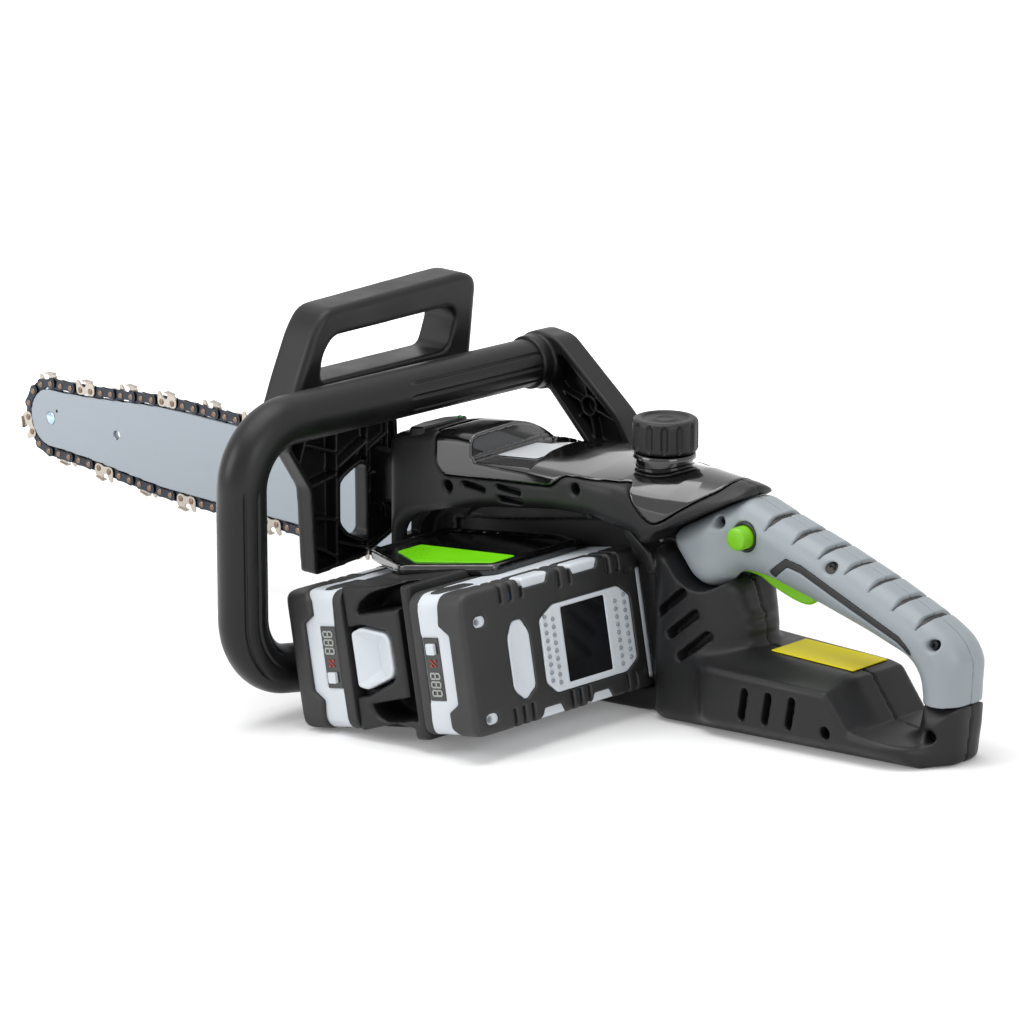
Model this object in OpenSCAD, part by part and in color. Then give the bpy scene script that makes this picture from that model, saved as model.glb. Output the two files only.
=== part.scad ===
// Cordless chainsaw with two battery packs on its left side.
// The saw is drawn level along its guide bar, then tipped back onto its rear foot.

/* [Stance] */
// Upward pitch of the guide bar when the saw stands on its foot
rest_tilt = 4; // [3.8:0.1:4.4]
// Distance from the back of the foot to the origin
foot_back = 27; // [20:1:35]
// Gap between pieces of one body that only touch
seam = 0.15; // [0.1:0.05:0.2]

/* [Bar and chain] */
// Offset of the bar's middle plane to the right of the handle
bar_side = 40; // [39.5:0.1:40.5]
// Height of the bar's middle line
bar_z = 42; // [40:0.5:44]
// Forward place of the nose sprocket
nose_x = 557; // [500:1:580]
// Half height of the bar
bar_half = 26; // [24:0.5:27]
// Radius of the bar's nose
nose_r = 18.7; // [17:0.1:20]
// Thickness of the bar
bar_t = 4.2; // [4:0.1:4.4]
// Forward place of the drive sprocket
sprocket_x = 118; // [117.5:0.1:118.5]
// Rivet line above the bar's edge
rivet_up = 3.3; // [3:0.1:3.6]
// Distance between cutters
cutter_pitch = 38.1; // [36:0.1:40]

/* [Rear handle] */
// Half width of the grey grip
grip_half = 19; // [17:0.5:21]
// Wall of the moulded shells
wall = 3; // [2.5:0.1:3.2]
// Half width of the trigger
trigger_half = 7; // [6:0.5:7.5]
// Radius of the lock-off button
lock_r = 6.4; // [5:0.1:6.6]

/* [Front handle and guard] */
// Radius of the front handle tube
tube_r = 13.7; // [12:0.1:14]
// Forward place of the front handle
tube_x = 156; // [155:0.5:158]
// Reach of the front handle to the left
tube_y = 165; // [160:1:170]
// Height of the front handle's top run
tube_z = 143; // [140:1:146]
// Bend radius of the front handle
tube_bend = 35; // [28:1:40]
// Radius of the guard's pivot pin
pivot_r = 3; // [2.5:0.1:3.5]

/* [Battery packs] */
// Forward pitch of the battery dock against the bar
dock_pitch = 11; // [10:0.5:11]
// Length of a pack, across the saw
pack_l = 132; // [128:1:134]
// Height of a pack
pack_h = 77; // [76:0.5:77]
// Thickness of a pack
pack_t = 41.6; // [41.4:0.1:42]
// Width of the dock beam between the packs
dock_w = 52.8; // [52:0.1:53.2]

/* [Oil cap] */
// Radius of the oil cap
cap_r = 18; // [16:0.5:19]
// Height of the oil cap
cap_h = 18; // [15:0.5:20]
// Number of flutes round the cap
cap_flutes = 13; // [10:1:16]

/* [Drive] */
// Gear module
gear_m = 2; // [1.99:0.01:2.01]
// Teeth on the motor pinion
pinion_n = 12; // [12:1:12]
// Teeth on the drive gear
gear_n = 44; // [44:1:44]

/* [Hidden] */
$fn = 48;
heel_x = -195;
cover_fall = atan2(5.5, 53);
foot_split = 8;
foot_top = [-145, 37];
bar_y = -bar_side;
motor_x = sprocket_x - gear_m * (pinion_n + gear_n) / 2;
cap_z = 130;
pack_in = 18;
pack_out = pack_in + pack_l;
dock_in = 15.4;
dock_top_z = 79.4;
pack_low = -1.2;
dock_o = [-7.87, 0, 3.14];
rear_x = pack_t / 2;
front_x = pack_t * 1.5 + dock_w;
trigger_pin_at = [-58, 84];
guard_pin_at = [160, 92];
lock_at = [-73, 99];
release_x = pack_t + 19.6;
release_w = 26.6;
front_lift = 2.4;
chain_top = [for (x = [sprocket_x : 11 : nose_x]) x];

// Frames: the tipped saw, the pitched dock, and one pack of the two

module saw() {
  translate([-foot_back, 0, 0]) rotate([0, -rest_tilt, 0]) translate([-heel_x, 0, 0]) children();
}

module dock() {
  saw() translate(dock_o) rotate([0, dock_pitch, 0]) children();
}

// A pack is drawn round its own middle, with its rail towards +X
module pack(front) {
  dock() translate([front ? front_x : rear_x, 0, pack_h / 2 + pack_low + (front ? front_lift : 0)])
    rotate([0, front ? 180 : 0, 0]) translate([0, 0, -pack_h / 2]) children();
}

// Shape helpers

// A side outline (forward, up) carried across the saw from y0 to y1
module slab(y0, y1) {
  translate([0, y1, 0]) rotate([90, 0, 0]) linear_extrude(y1 - y0) children();
}

// A front outline (left, up) carried forwards from x0 to x1
module plate(x0, x1) {
  translate([x0, 0, 0]) rotate([90, 0, 90]) linear_extrude(x1 - x0) children();
}

// A round bar across the saw
module cross_bar(at, y0, y1, r) {
  translate([at[0], y1, at[1]]) rotate([90, 0, 0]) cylinder(h = y1 - y0, r = r);
}

// A round bar along the saw
module long_bar(x0, x1, y, z, r) {
  translate([x0, y, z]) rotate([0, 90, 0]) cylinder(h = x1 - x0, r = r);
}

module box(a, b) {
  translate(a) cube(b - a);
}

module soft_corners(r) {
  offset(r = r, $fn = 16) offset(delta = -r) children();
}

// Keeps what is higher than z above the ground
module above(z) {
  difference() {
    children();
    translate([-300, -300, z - 100]) cube([1300, 700, 100]);
  }
}

// Side outlines

module belly_2d() {
  soft_corners(4)
    polygon([[-12, 104], [-12, 60], [-25, 57], [-25, 6], [60, -14], [118, -26], [166, -30],
      [172, -12], [172, 84], [166, 104]]);
}

// The upper block; low is the height of its front underside
module upper_2d(low) {
  soft_corners(4)
    polygon([[168, low], [168, 111], [-30, 111], [-34, 100], [-12, 89], [60, 86], [130, low]]);
}

module saddle_2d() {
  soft_corners(2)
    polygon([[-71.6, 119], [-16.5, 85.2], [-20, 64], [1, 64], [4, 79], [10, 79], [10, 110.8], [-29, 110.8],
      [-30, 117]]);
}

module column_2d() {
  soft_corners(4)
    polygon([[-15, 58.5], [-15, 2], [-62, -8], [-140, -8], [-110, 30], [-86, 37], [-77, 58.5]]);
}

module foot_2d() {
  soft_corners(3)
    polygon([[-55, 30], [-55, -9], [-203, -4], [-206, 10], [-214, 31], [-179, 24], [-160, 16],
      [-152, 24], [foot_top[0], foot_top[1]], [-80, foot_top[1]]]);
}

module grip_2d() {
  soft_corners(3)
    polygon([[-73, 120.8], [-92, 115.5], [-110, 109.5], [-145, 99], [-180, 86.5], [-208, 75.5], [-221, 65],
      [-223, 52], [-216, 31.5], [-180, 24.6], [-184, 44], [-172, 53], [-150, 58.5], [-110, 67.6],
      [-66, 76], [-52, 67], [-38, 61], [-24, 69], [-16.8, 85.4]]);
}

module trigger_slot_2d() {
  polygon([[-47, 58], [-47, 93], [-110, 93], [-110, 58]]);
}

module cover_2d() {
  soft_corners(2)
    polygon([[164, 108], [163, 117], [110, 122.5], [30, 119.5], [-31, 117.4], [-36, 108]]);
}

module sprocket_cover_2d() {
  soft_corners(8)
    polygon([[82, 10], [82, 70], [96, 80], [150, 80], [196, 76], [196, 8], [150, 4], [96, 2]]);
}

module strut_2d() {
  difference() {
    union() {
      polygon([[141, 161], [84.5, 118], [80, 98], [115, 98], [119.5, 102.6], [152, 133], [160, 160]]);
      translate([tube_x, tube_z]) circle(r = tube_r + 5);
    }
    offset(delta = -4)
      polygon([[132, 150], [87, 116], [84, 101], [113, 101], [117, 106], [143, 130]]);
  }
}

// Shells of the main housing

// One half of the housing's outside, with the reach of each block to that side.
// The foot is split to the right of the middle, so its left half carries the origin.
module housing_half(belly, upper, low, saddle, column, foot, foot_in) {
  slab(seam, belly) belly_2d();
  slab(seam, upper) upper_2d(low);
  slab(seam, saddle) saddle_2d();
  slab(seam, column) column_2d();
  slab(foot_in, foot) foot_2d();
}

module housing_hollow(belly, upper, low, column, foot, foot_in) {
  slab(-1, belly - wall) offset(delta = -wall) belly_2d();
  slab(-1, upper - wall) offset(delta = -wall) upper_2d(low);
  slab(-1, column - wall) offset(delta = -wall) column_2d();
  slab(foot_in - 1, foot - wall) offset(delta = -wall) foot_2d();
}

screw_sites = [[121.7, 95.6, 45], [30, 104, 45], [-147, 14, 36], [-96, 14, 36]];

module housing_left() {
  color("#2b2b2d") difference() {
    above(0) saw() housing_half(15, 45, 74, 24, 30, 36, -foot_split);
    above(wall) saw() housing_hollow(15, 45, 74, 30, 36, -foot_split);
    saw() {
      for (s = screw_sites) cross_bar([s[0], s[1]], s[2] - 2, s[2] + 1, 3.4);
      for (s = screw_sites) cross_bar([s[0], s[1]], s[2] - wall - 1, s[2], 2);
      cross_bar(guard_pin_at, -1, 60, pivot_r + 0.1);
      box([147, 27.4, 60], [176, 36.6, 108]);
      for (i = [0 : 2]) slab(28, 50) translate([-88 - 13.5 * i, 7 - i]) vent_2d();
      translate([0, 0, 90]) cylinder(h = 40, r = 14);
    }
  }
}

module vent_2d() {
  polygon([[0, 0], [5, 0], [1.4, 18], [-3.6, 18]]);
}

module housing_right() {
  color("#2b2b2d") difference() {
    above(0) saw() {
      mirror([0, 1, 0]) housing_half(34, 52, 83, 24, 28, 26, foot_split + seam);
      slab(-76, -50) polygon([[78, 86], [78, 97.8], [132, 97.8], [132, 86]]);
    }
    above(wall) saw() mirror([0, 1, 0]) housing_hollow(34, 52, 83, 28, 26, foot_split + seam);
    saw() {
      slab(-foot_split - seam, 1) offset(delta = seam) foot_2d();
      cross_bar([sprocket_x, bar_z], -40, 0, 11.05);
      cross_bar(guard_pin_at, -60, 1, pivot_r + 0.1);
      translate([0, 0, 90]) cylinder(h = 40, r = 14);
    }
  }
}

module top_cover() {
  color("#0c0c0d") saw() difference() {
    slab(-52, 45) cover_2d();
    difference() {
      slab(-52 + wall, 45 - wall) offset(delta = -wall) cover_2d();
      box([59, -22, 100], [117, 36, 130]);
    }
    box([-60, -80, 90], [200, 80, 111 + seam]);
    translate([0, 0, 100]) cylinder(h = 40, r = 14);
    slab(-24 - seam, 24 + seam) translate([-40, 0]) offset(delta = seam)
      polygon([[-40, 0], [51, 0], [51, 112], [10.5, 118], [-40, 122]]);
    plate_recess();
  }
}

// Shallow recess that holds the white plate
module plate_recess() {
  box([62, -19, 114], [114, 33, 140]);
}

module cover_plate() {
  color("#d8dce0") saw() translate([90, 7, 114 + seam]) rotate([0, 0, -70])
    translate([-20, -13, 0]) cube([40, 26, 0.8]);
}

module tab_plate() {
  color("#1c1c1e") saw() translate([110, 0, 122.5]) rotate([0, cover_fall, 0])
    box([38, -8, seam], [50, 34, 2.2]);
}

module foot_plate() {
  color("#f2e11a") saw() translate([foot_top[0] + 4, -19, foot_top[1] + seam]) cube([53, 28, 0.8]);
}

// Grey rear grip

module grip_half_shell(side) {
  difference() {
    mirror([0, side > 0 ? 0 : 1, 0]) difference() {
      slab(seam, grip_half) grip_2d();
      slab(-1, grip_half - wall) offset(delta = -wall) grip_2d();
      slab(-1, trigger_half + 0.8) trigger_slot_2d();
    }
    slab(-40, 40) offset(delta = seam) saddle_2d();
    slab(-40, 40) offset(delta = seam) foot_2d();
  }
}

module grip_left() {
  color("#8f979c") saw() difference() {
    grip_half_shell(1);
    cross_bar(lock_at, 10, 30, lock_r + 0.35);
    insert_pocket();
  }
}

module grip_right() {
  color("#8f979c") saw() grip_half_shell(-1);
}

module insert_2d() {
  polygon([[-101, 77], [-92, 81.5], [-165, 63], [-170, 57.5], [-150, 63.5]]);
}

module insert_pocket() {
  slab(grip_half - 1.2, grip_half + 1) offset(delta = seam) insert_2d();
}

module grip_insert() {
  color("#1a1a1c") saw() slab(grip_half - 1.1, grip_half) insert_2d();
}

module trigger_pin() {
  color("silver") saw() cross_bar(trigger_pin_at, -15.8, 15.8, 2);
}

module trigger_switch() {
  color("#202022") saw() box([-106, -9, 94], [-86, 9, 98]);
}

module control_board() {
  color("#1e5b34") saw() box([36, -20, 104], [140, 30, 105.6]);
}

module housing_screws() {
  color("#55585c") saw() for (s = screw_sites)
    difference() {
      cross_bar([s[0], s[1]], s[2] - 1.9, s[2] - 0.2, 3.1);
      translate([s[0], s[2], s[1]]) rotate([90, 0, 0]) cylinder(h = 1.2, r = 1.6, $fn = 6);
    }
}

// Front handle: one bent tube

function bend(c, r, a0, a1, n) = [for (i = [0 : n]) let (a = a0 + (a1 - a0) * i / n)
  [tube_x, c[0] + r * cos(a), c[1] + r * sin(a)]];

tube_low = 38;
tube_path = concat(
  [[tube_x, -58, tube_z]],
  bend([tube_y - tube_bend, tube_z - tube_bend], tube_bend, 90, 0, 8),
  bend([tube_y - tube_bend, tube_low], tube_bend, 0, -80, 7),
  [[tube_x, 60, -9], [tube_x, 44, -10], [tube_x, dock_in, -10]]);

function unit(v) = v / norm(v);

// Direction of the path at point i, shared by the runs that meet there
function along(p, i) = unit(p[min(i + 1, len(p) - 1)] - p[max(i - 1, 0)]);

// A ring of points round path point i; the path lies in one upright plane
function ring(p, i, r, n) = let (t = along(p, i), u = [1, 0, 0], v = cross(t, u))
  [for (k = [0 : n - 1]) p[i] + r * (cos(360 * k / n) * u + sin(360 * k / n) * v)];

module tube(p, r, n) {
  m = len(p);
  pts = [for (i = [0 : m - 1]) each ring(p, i, r, n)];
  sides = [for (i = [0 : m - 2], k = [0 : n - 1]) let (a = i * n + k, b = i * n + (k + 1) % n)
    each [[a, a + n, b + n], [a, b + n, b]]];
  ends = [[for (k = [0 : n - 1]) k], [for (k = [n - 1 : -1 : 0]) (m - 1) * n + k]];
  polyhedron(points = pts, faces = concat(sides, ends));
}

module front_handle() {
  color("#242426") saw() tube(tube_path, tube_r, 20);
}

module handle_strut() {
  color("#242426") saw() {
    slab(-76, -58.2) strut_2d();
    slab(-76, -72) polygon([[132, 150], [87, 116], [84, 101], [113, 101], [117, 106], [143, 130]]);
  }
}

module guard_pivot_pin() {
  color("silver") saw() cross_bar(guard_pin_at, -57, 44.8, pivot_r);
}

module brake_band() {
  color("#6a6d70") saw() translate([sprocket_x, 0, bar_z]) rotate([90, 0, 0]) translate([0, 0, 25])
    difference() {
      cylinder(h = 5, r = 30);
      translate([0, 0, -1]) cylinder(h = 7, r = 28.5);
    }
}

// Battery dock: a beam with a rail slot on each side and a hexagonal top

rail_neck = 12;
rail_head = 20;

module rail_2d(grow) {
  square([6, rail_neck + 2 * grow], center = true);
  translate([3, 0]) square([3 + 2 * grow, rail_head + 2 * grow], center = true);
}

// A pack's rail, standing out of its inner face at height pack_h / 2
module rail(grow, y0, y1) {
  translate([pack_t / 2, y0, pack_h / 2]) rotate([-90, 0, 0]) linear_extrude(y1 - y0) rail_2d(grow);
}

// The dock's lid rises forward, against the pitch of the dock
module dock_lid() {
  translate([0, 0, dock_top_z]) rotate([0, -5, 0]) children();
}

module dock_top_2d() {
  polygon([[27, 96.5], [77, 119.5], [123, 97], [127, 46], [31, 46]]);
}

module battery_dock() {
  color("#161617") {
    difference() {
      dock() union() {
        box([pack_t + 0.4, dock_in, 2], [pack_t + dock_w - 0.4, pack_out - 2, 82]);
        dock_lid() translate([0, 0, -5.5]) linear_extrude(5.5) dock_top_2d();
      }
      pack(false) rail(0.4, dock_in - 1, 200);
      pack(true) rail(0.4, dock_in - 1, 200);
      dock() box([release_x - 0.4, pack_out - 18, 24], [release_x + release_w + 0.4, pack_out, 57.5]);
      dock() dock_lid() translate([0, 0, -1.2]) linear_extrude(3) badge_2d();
    }
  }
}

module badge_2d() {
  polygon([[107, 91], [108, 72], [37, 70.5], [35.5, 89], [78, 106]]);
}

module dock_badge() {
  color("#7fd000") dock() dock_lid() translate([0, 0, -1.2 + seam]) linear_extrude(0.9)
    offset(delta = -0.3) badge_2d();
}

module dock_terminals() {
  color("#b08d3c") for (f = [true, false]) pack(f)
    for (s = [-1, 1]) translate([pack_t / 2 + 1.6, dock_in + 0.3, pack_h / 2 + s * 4 - 1]) cube([3, 1.9, 2]);
}

module release_button() {
  color("#d5dbe2") dock() difference() {
    box([release_x, pack_out - 12, 24.5], [release_x + release_w, pack_out - 2.5, 57]);
    translate([release_x + release_w / 2, pack_out + 24, 20]) cylinder(h = 50, r = 30);
  }
}

// Oil system

module oil_tank() {
  color("#d9d4c0") saw() difference() {
    box([-8, -30, 12], [28, 11, 106]);
    box([-6, -28, 14], [26, 9, 104]);
    translate([4, 0, 95]) cylinder(h = 20, r = 8);
  }
}

module filler_neck() {
  color("#141415") saw() translate([0, 0, 106 + seam]) difference() {
    union() {
      cylinder(h = 14, r = 13.7);
      translate([0, 0, cap_z - 106 - 11]) cylinder(h = 10.4, r = 19.5);
    }
    translate([0, 0, -1]) cylinder(h = 40, r = 10);
  }
}

module oil_cap() {
  color("#1b1b1d") saw() translate([0, 0, cap_z + 0.4]) difference() {
    union() {
      cylinder(h = cap_h, r = cap_r);
      translate([0, 0, -16]) cylinder(h = 16.5, r = 8);
    }
    for (i = [0 : cap_flutes - 1]) rotate([0, 0, 360 * i / cap_flutes])
      translate([cap_r + 1.2, 0, 2]) cylinder(h = cap_h - 6, r = 2.6, $fn = 24);
    translate([0, 0, cap_h - 1.5]) cylinder(h = 3, r = cap_r - 6);
  }
}

module cap_seal() {
  color("#101010") saw() translate([0, 0, cap_z - 12]) difference() {
    cylinder(h = 3, r = 9.8);
    translate([0, 0, -1]) cylinder(h = 5, r = 8.05);
  }
}

module oil_pump() {
  color("#8a8d90") saw() {
    box([134, -30.8, -12], [160, -26, 2]);
    long_bar(120, 133.8, -28, -4, 2.2);
  }
}

// Motor and gear train, all on axes that run across the saw

module motor_can() {
  color("#6f7377") saw() difference() {
    cross_bar([motor_x, bar_z], -9, 11, 27);
    cross_bar([motor_x, bar_z], -10, 9, 24);
  }
}

module motor_rotor() {
  color("#9a7b3c") saw() cross_bar([motor_x, bar_z], -7, 8, 23.5);
}

// Spur gear with straight-sided teeth and open backlash
module gear_2d(n) {
  r = gear_m * n / 2;
  for (i = [0 : n - 1]) rotate(360 * i / n)
    polygon([[r - 2.6, -1.7], [r + 1.6, -0.65], [r + 1.6, 0.65], [r - 2.6, 1.7]]);
  circle(r = r - 2.3);
}

module motor_pinion() {
  color("#8a8d90") saw() translate([motor_x, -14, bar_z]) rotate([90, 0, 0])
    linear_extrude(9) rotate(180 / pinion_n) gear_2d(pinion_n);
  color("#8a8d90") saw() cross_bar([motor_x, bar_z], -14.5, -7.2, 4);
}

module drive_gear() {
  color("#75787b") saw() translate([sprocket_x, -14.5, bar_z]) rotate([90, 0, 0]) difference() {
    linear_extrude(8) gear_2d(gear_n);
    translate([0, 0, -1]) cylinder(h = 20, r = 5.05);
  }
}

module drive_shaft() {
  color("silver") saw() cross_bar([sprocket_x, bar_z], -46, -6, 5);
}

module shaft_bearing() {
  color("#a9adb1") saw() translate([sprocket_x, -31, bar_z]) rotate([90, 0, 0]) difference() {
    cylinder(h = 5, r = 11);
    translate([0, 0, -1]) cylinder(h = 8, r = 5.06);
  }
}

module drive_sprocket() {
  color("#606366") saw() translate([sprocket_x, -36.8, bar_z]) rotate([90, 0, 0]) difference() {
    linear_extrude(6.4) {
      circle(r = 8);
      for (i = [0 : 5]) rotate(60 * i) polygon([[6, -2.6], [10.3, -1.2], [10.3, 1.2], [6, 2.6]]);
    }
    translate([0, 0, -1]) cylinder(h = 10, r = 5.05);
  }
}

// Right side: cover, bar and chain

module sprocket_cover() {
  color("#242426") saw() difference() {
    slab(-74, -36) sprocket_cover_2d();
    difference() {
      slab(-71, -30) offset(delta = -wall) sprocket_cover_2d();
      box([136, -80, 28], [176, -bar_side - bar_t / 2 - 0.2, 56]);
    }
    box([180, -50, 5], [200, -30, 79]);
    for (x = [146, 166]) cross_bar([x, bar_z], -80, -30, 4.3);
    cross_bar([150, 29], -50, -30, 3);
    long_bar(140, 220, -56, 22, 3);
  }
}

module bar_studs() {
  color("#8a8d90") saw() for (x = [146, 166]) cross_bar([x, bar_z], -86, -34.2, 4);
}

module bar_nuts() {
  color("#9a9da0") saw() for (x = [146, 166]) translate([x, -74.1, bar_z]) rotate([90, 0, 0]) difference() {
    union() {
      cylinder(h = 1.5, r = 9);
      cylinder(h = 8, r = 7.5, $fn = 6);
    }
    translate([0, 0, -1]) cylinder(h = 10, r = 4.05);
  }
}

module tension_screw() {
  color("#8a8d90") saw() {
    long_bar(150, 197, -56, 22, 2.6);
    long_bar(197, 200, -56, 22, 4);
  }
}

module tension_pin() {
  color("#8a8d90") saw() {
    cross_bar([150, 29], -44, -37.5, 2);
    cross_bar([150, 29], -47.5, -44, 2.8);
  }
}

module bumper_spike() {
  color("#707478") saw() slab(-33.8, -30.5)
    polygon([[172.2, 4], [172.2, 74], [178, 74], [188, 66], [178, 58], [178, 52], [188, 43],
      [178, 34], [178, 28], [188, 18], [178, 10], [178, 4]]);
}

// Half height of the bar's edge: level, then eased down to the nose
function edge(x) = x < 430 ? bar_half
  : nose_r + (bar_half - nose_r) * (1 + cos(180 * (x - 430) / (nose_x - 430))) / 2;

// Half height of the rivet line: from the sprocket up onto the bar, then along its edge
function rivets(x) = x < 160 ? 18.3 + (bar_half + rivet_up - 18.3) * (x - sprocket_x) / (160 - sprocket_x)
  : edge(x) + rivet_up;

// Closed outline round the nose, from half heights along the top, then the same below
function closed(top, nose) = concat(top,
  [for (a = [80 : -10 : -80]) [nose_x + nose * cos(a), nose * sin(a)]],
  [for (i = [len(top) - 1 : -1 : 0]) [top[i][0], -top[i][1]]]);

module bar_2d() {
  bar_top = [for (x = [131 : 14.2 : nose_x]) [x, rivets(x) - rivet_up]];
  translate([0, bar_z]) polygon(closed(bar_top, nose_r));
}

module chain_2d(off) {
  translate([0, bar_z]) {
    polygon(closed([for (x = chain_top) [x, rivets(x) + off]], nose_r + rivet_up + off));
    translate([sprocket_x, 0]) circle(r = 18.3 + off);
  }
}

module guide_bar() {
  color("#b4bcc5") saw() difference() {
    slab(bar_y - bar_t / 2, bar_y + bar_t / 2) bar_2d();
    slab(bar_y - 0.75, bar_y + 0.75) difference() {
      offset(delta = 1) bar_2d();
      offset(delta = -6) bar_2d();
    }
    cross_bar([nose_x, bar_z], bar_y - 0.75, bar_y + 0.75, nose_r - 1);
    cross_bar([nose_x, bar_z], bar_y - 5, bar_y + 5, 4);
    slab(bar_y - 5, bar_y + 5) translate([0, bar_z]) hull() {
      translate([142, 0]) circle(r = 4.2);
      translate([170, 0]) circle(r = 4.2);
    }
    for (z = [29, 55]) cross_bar([150, z], bar_y - 5, bar_y + 5, 2.4);
    cross_bar([494.6, bar_z], bar_y - 5, bar_y + 5, 2.6);
    cross_bar([551, bar_z + 5.5], bar_y - 5, bar_y + 5, 1);
  }
}

module nose_rivet() {
  color("#9aa0a6") saw() difference() {
    cross_bar([nose_x, bar_z], bar_y - bar_t / 2 - 0.2, bar_y + bar_t / 2 + 0.2, 3.95);
    cross_bar([nose_x, bar_z], bar_y - 5, bar_y + 5, 1.5);
  }
}

module nose_sprocket() {
  color("#7d8388") saw() translate([nose_x, bar_y + 0.6, bar_z]) rotate([90, 0, 0]) difference() {
    linear_extrude(1.2) {
      circle(r = 12);
      for (i = [0 : 8]) rotate(40 * i) polygon([[11, -1.6], [13.8, -0.7], [13.8, 0.7], [11, 1.6]]);
    }
    translate([0, 0, -1]) cylinder(h = 5, r = 4.02);
  }
}

module cutter_2d() {
  polygon([[-7, 0], [-6, 4], [-1, 5.6], [7, 5], [7, 0]]);
}

module saw_chain() {
  color("#4a4e55") saw() {
    slab(bar_y - 0.6, bar_y + 0.6) difference() {
      chain_2d(2.6);
      chain_2d(-rivet_up - 4);
    }
    for (s = [-1, 1]) translate([0, s * 1.4, 0]) slab(bar_y - 0.75, bar_y + 0.75) difference() {
      chain_2d(3);
      chain_2d(-2.6);
    }
    for (x = [200 : cutter_pitch : 540], s = [-1, 1]) translate([0, s * 1.4, 0])
      slab(bar_y - 0.75, bar_y + 0.75) translate([x, bar_z + s * (rivets(x) + 2.4)])
        rotate(s > 0 ? 0 : 180) cutter_2d();
  }
}

// Chain brake guard: a loop with a window, a shield below it and an arm that enters the front wall

module guard_2d() {
  difference() {
    soft_corners(6)
      polygon([[102, 136], [84, 177], [75, 188], [-34, 192.5], [-43, 187], [-37, 137], [56, 136],
        [56, 118], [112, 118]]);
    soft_corners(3) polygon([[80, 149], [78, 163], [70, 172], [-21, 174], [-25, 168], [-18, 150]]);
  }
}

module shield_2d() {
  difference() {
    polygon([[107, 116], [100, 138], [46, 138], [20, 126], [15, 58], [24, 50], [40, 44], [87, 40], [90, 90]]);
    polygon([[67, 90], [67, 67], [61, 60], [49, 55], [45, 57], [45, 95], [50, 98], [58, 95.5]]);
  }
}

module hand_guard() {
  color("#232325") saw() difference() {
    union() {
      plate(187, 213) guard_2d();
      plate(188.5, 195) shield_2d();
      slab(28, 36) polygon([[150, 84], [150, 100], [190, 104], [190, 70], [170, 76]]);
    }
    cross_bar(guard_pin_at, -60, 60, pivot_r + 0.06);
  }
}

// Trigger and lock-off button

module trigger() {
  color("#7fd000") saw() difference() {
    slab(-trigger_half, trigger_half) soft_corners(1.5)
      polygon([[-52, 70], [-51, 88], [-62, 90], [-80, 84], [-104, 80], [-106, 66], [-100, 62.5], [-84, 68],
        [-66, 74.5], [-58, 69]]);
    cross_bar(trigger_pin_at, -20, 20, 2.06);
  }
}

module lock_button() {
  color("#7fd000") saw() cross_bar(lock_at, 11, grip_half + 6, lock_r);
}

// Battery packs: the same pack twice, the front one turned end for end about its rail

module pack_outline_2d() {
  soft_corners(5) translate([-pack_t / 2, 0]) square([pack_t - 0.4, pack_h]);
}

module pack_case() {
  difference() {
    union() {
      slab(pack_in, pack_out) pack_outline_2d();
      rail(0, pack_in + 2, pack_out - 4);
    }
    slab(pack_in + 2, pack_out - 12) translate([0, pack_h / 2])
      square([pack_t - 4.4, pack_h - 4.6], center = true);
    slab(pack_out - 4, pack_out + 1) difference() {
      offset(delta = 1) pack_outline_2d();
      offset(delta = -3) pack_outline_2d();
    }
    label_box(0.2, 0.3);
    display_box(0.2, 0.3);
    pack_button_at() cylinder(h = 20, r = 2.6);
  }
}

module pack_frame() {
  slab(pack_out - 4 + seam, pack_out) difference() {
    pack_outline_2d();
    offset(delta = -3 + 0.2) pack_outline_2d();
  }
}

module label_box(grow, deep) {
  box([-pack_t / 2 - 1, pack_in + 6 - grow, 13 - grow],
    [-pack_t / 2 + 0.9 + deep, pack_in + 64 + grow, 59 + grow]);
}

module pack_label() {
  box([-pack_t / 2 + 0.1, pack_in + 6, 13], [-pack_t / 2 + 0.9, pack_in + 64, 59]);
}

module display_box(grow, deep) {
  box([2 - grow, pack_out - 1.6 - deep, 21 - grow], [12 + grow, pack_out + 1, 43 + grow]);
}

module pack_display() {
  box([2, pack_out - 1.6, 21], [12, pack_out - 0.2, 43]);
}

module pack_button_at() {
  translate([7.2, pack_out - 6, 48.7]) rotate([-90, 0, 0]) children();
}

module pack_button() {
  pack_button_at() translate([0, 0, 1.6]) cylinder(h = 4.8, r = 2.3);
}

module pack_cells() {
  for (i = [0 : 4], s = [-1, 1])
    translate([s * 9.2 - 0.1, pack_in + 13 + 20.5 * i, pack_h / 2 - 32.5]) cylinder(h = 65, r = 9);
}

module front_pack_case() { color("#2a2a2c") pack(true) pack_case(); }
module front_pack_frame() { color("#d5dbe2") pack(true) pack_frame(); }
module front_pack_label() { color("#d5dbe2") pack(true) pack_label(); }
module front_pack_display() { color("#17181a") pack(true) pack_display(); }
module front_pack_cells() { color("#4d7fb0") pack(true) pack_cells(); }
module front_pack_button() { color("#e6e9ec") pack(true) pack_button(); }
module rear_pack_case() { color("#2a2a2c") pack(false) pack_case(); }
module rear_pack_frame() { color("#d5dbe2") pack(false) pack_frame(); }
module rear_pack_label() { color("#d5dbe2") pack(false) pack_label(); }
module rear_pack_display() { color("#17181a") pack(false) pack_display(); }
module rear_pack_cells() { color("#4d7fb0") pack(false) pack_cells(); }
module rear_pack_button() { color("#e6e9ec") pack(false) pack_button(); }

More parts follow.
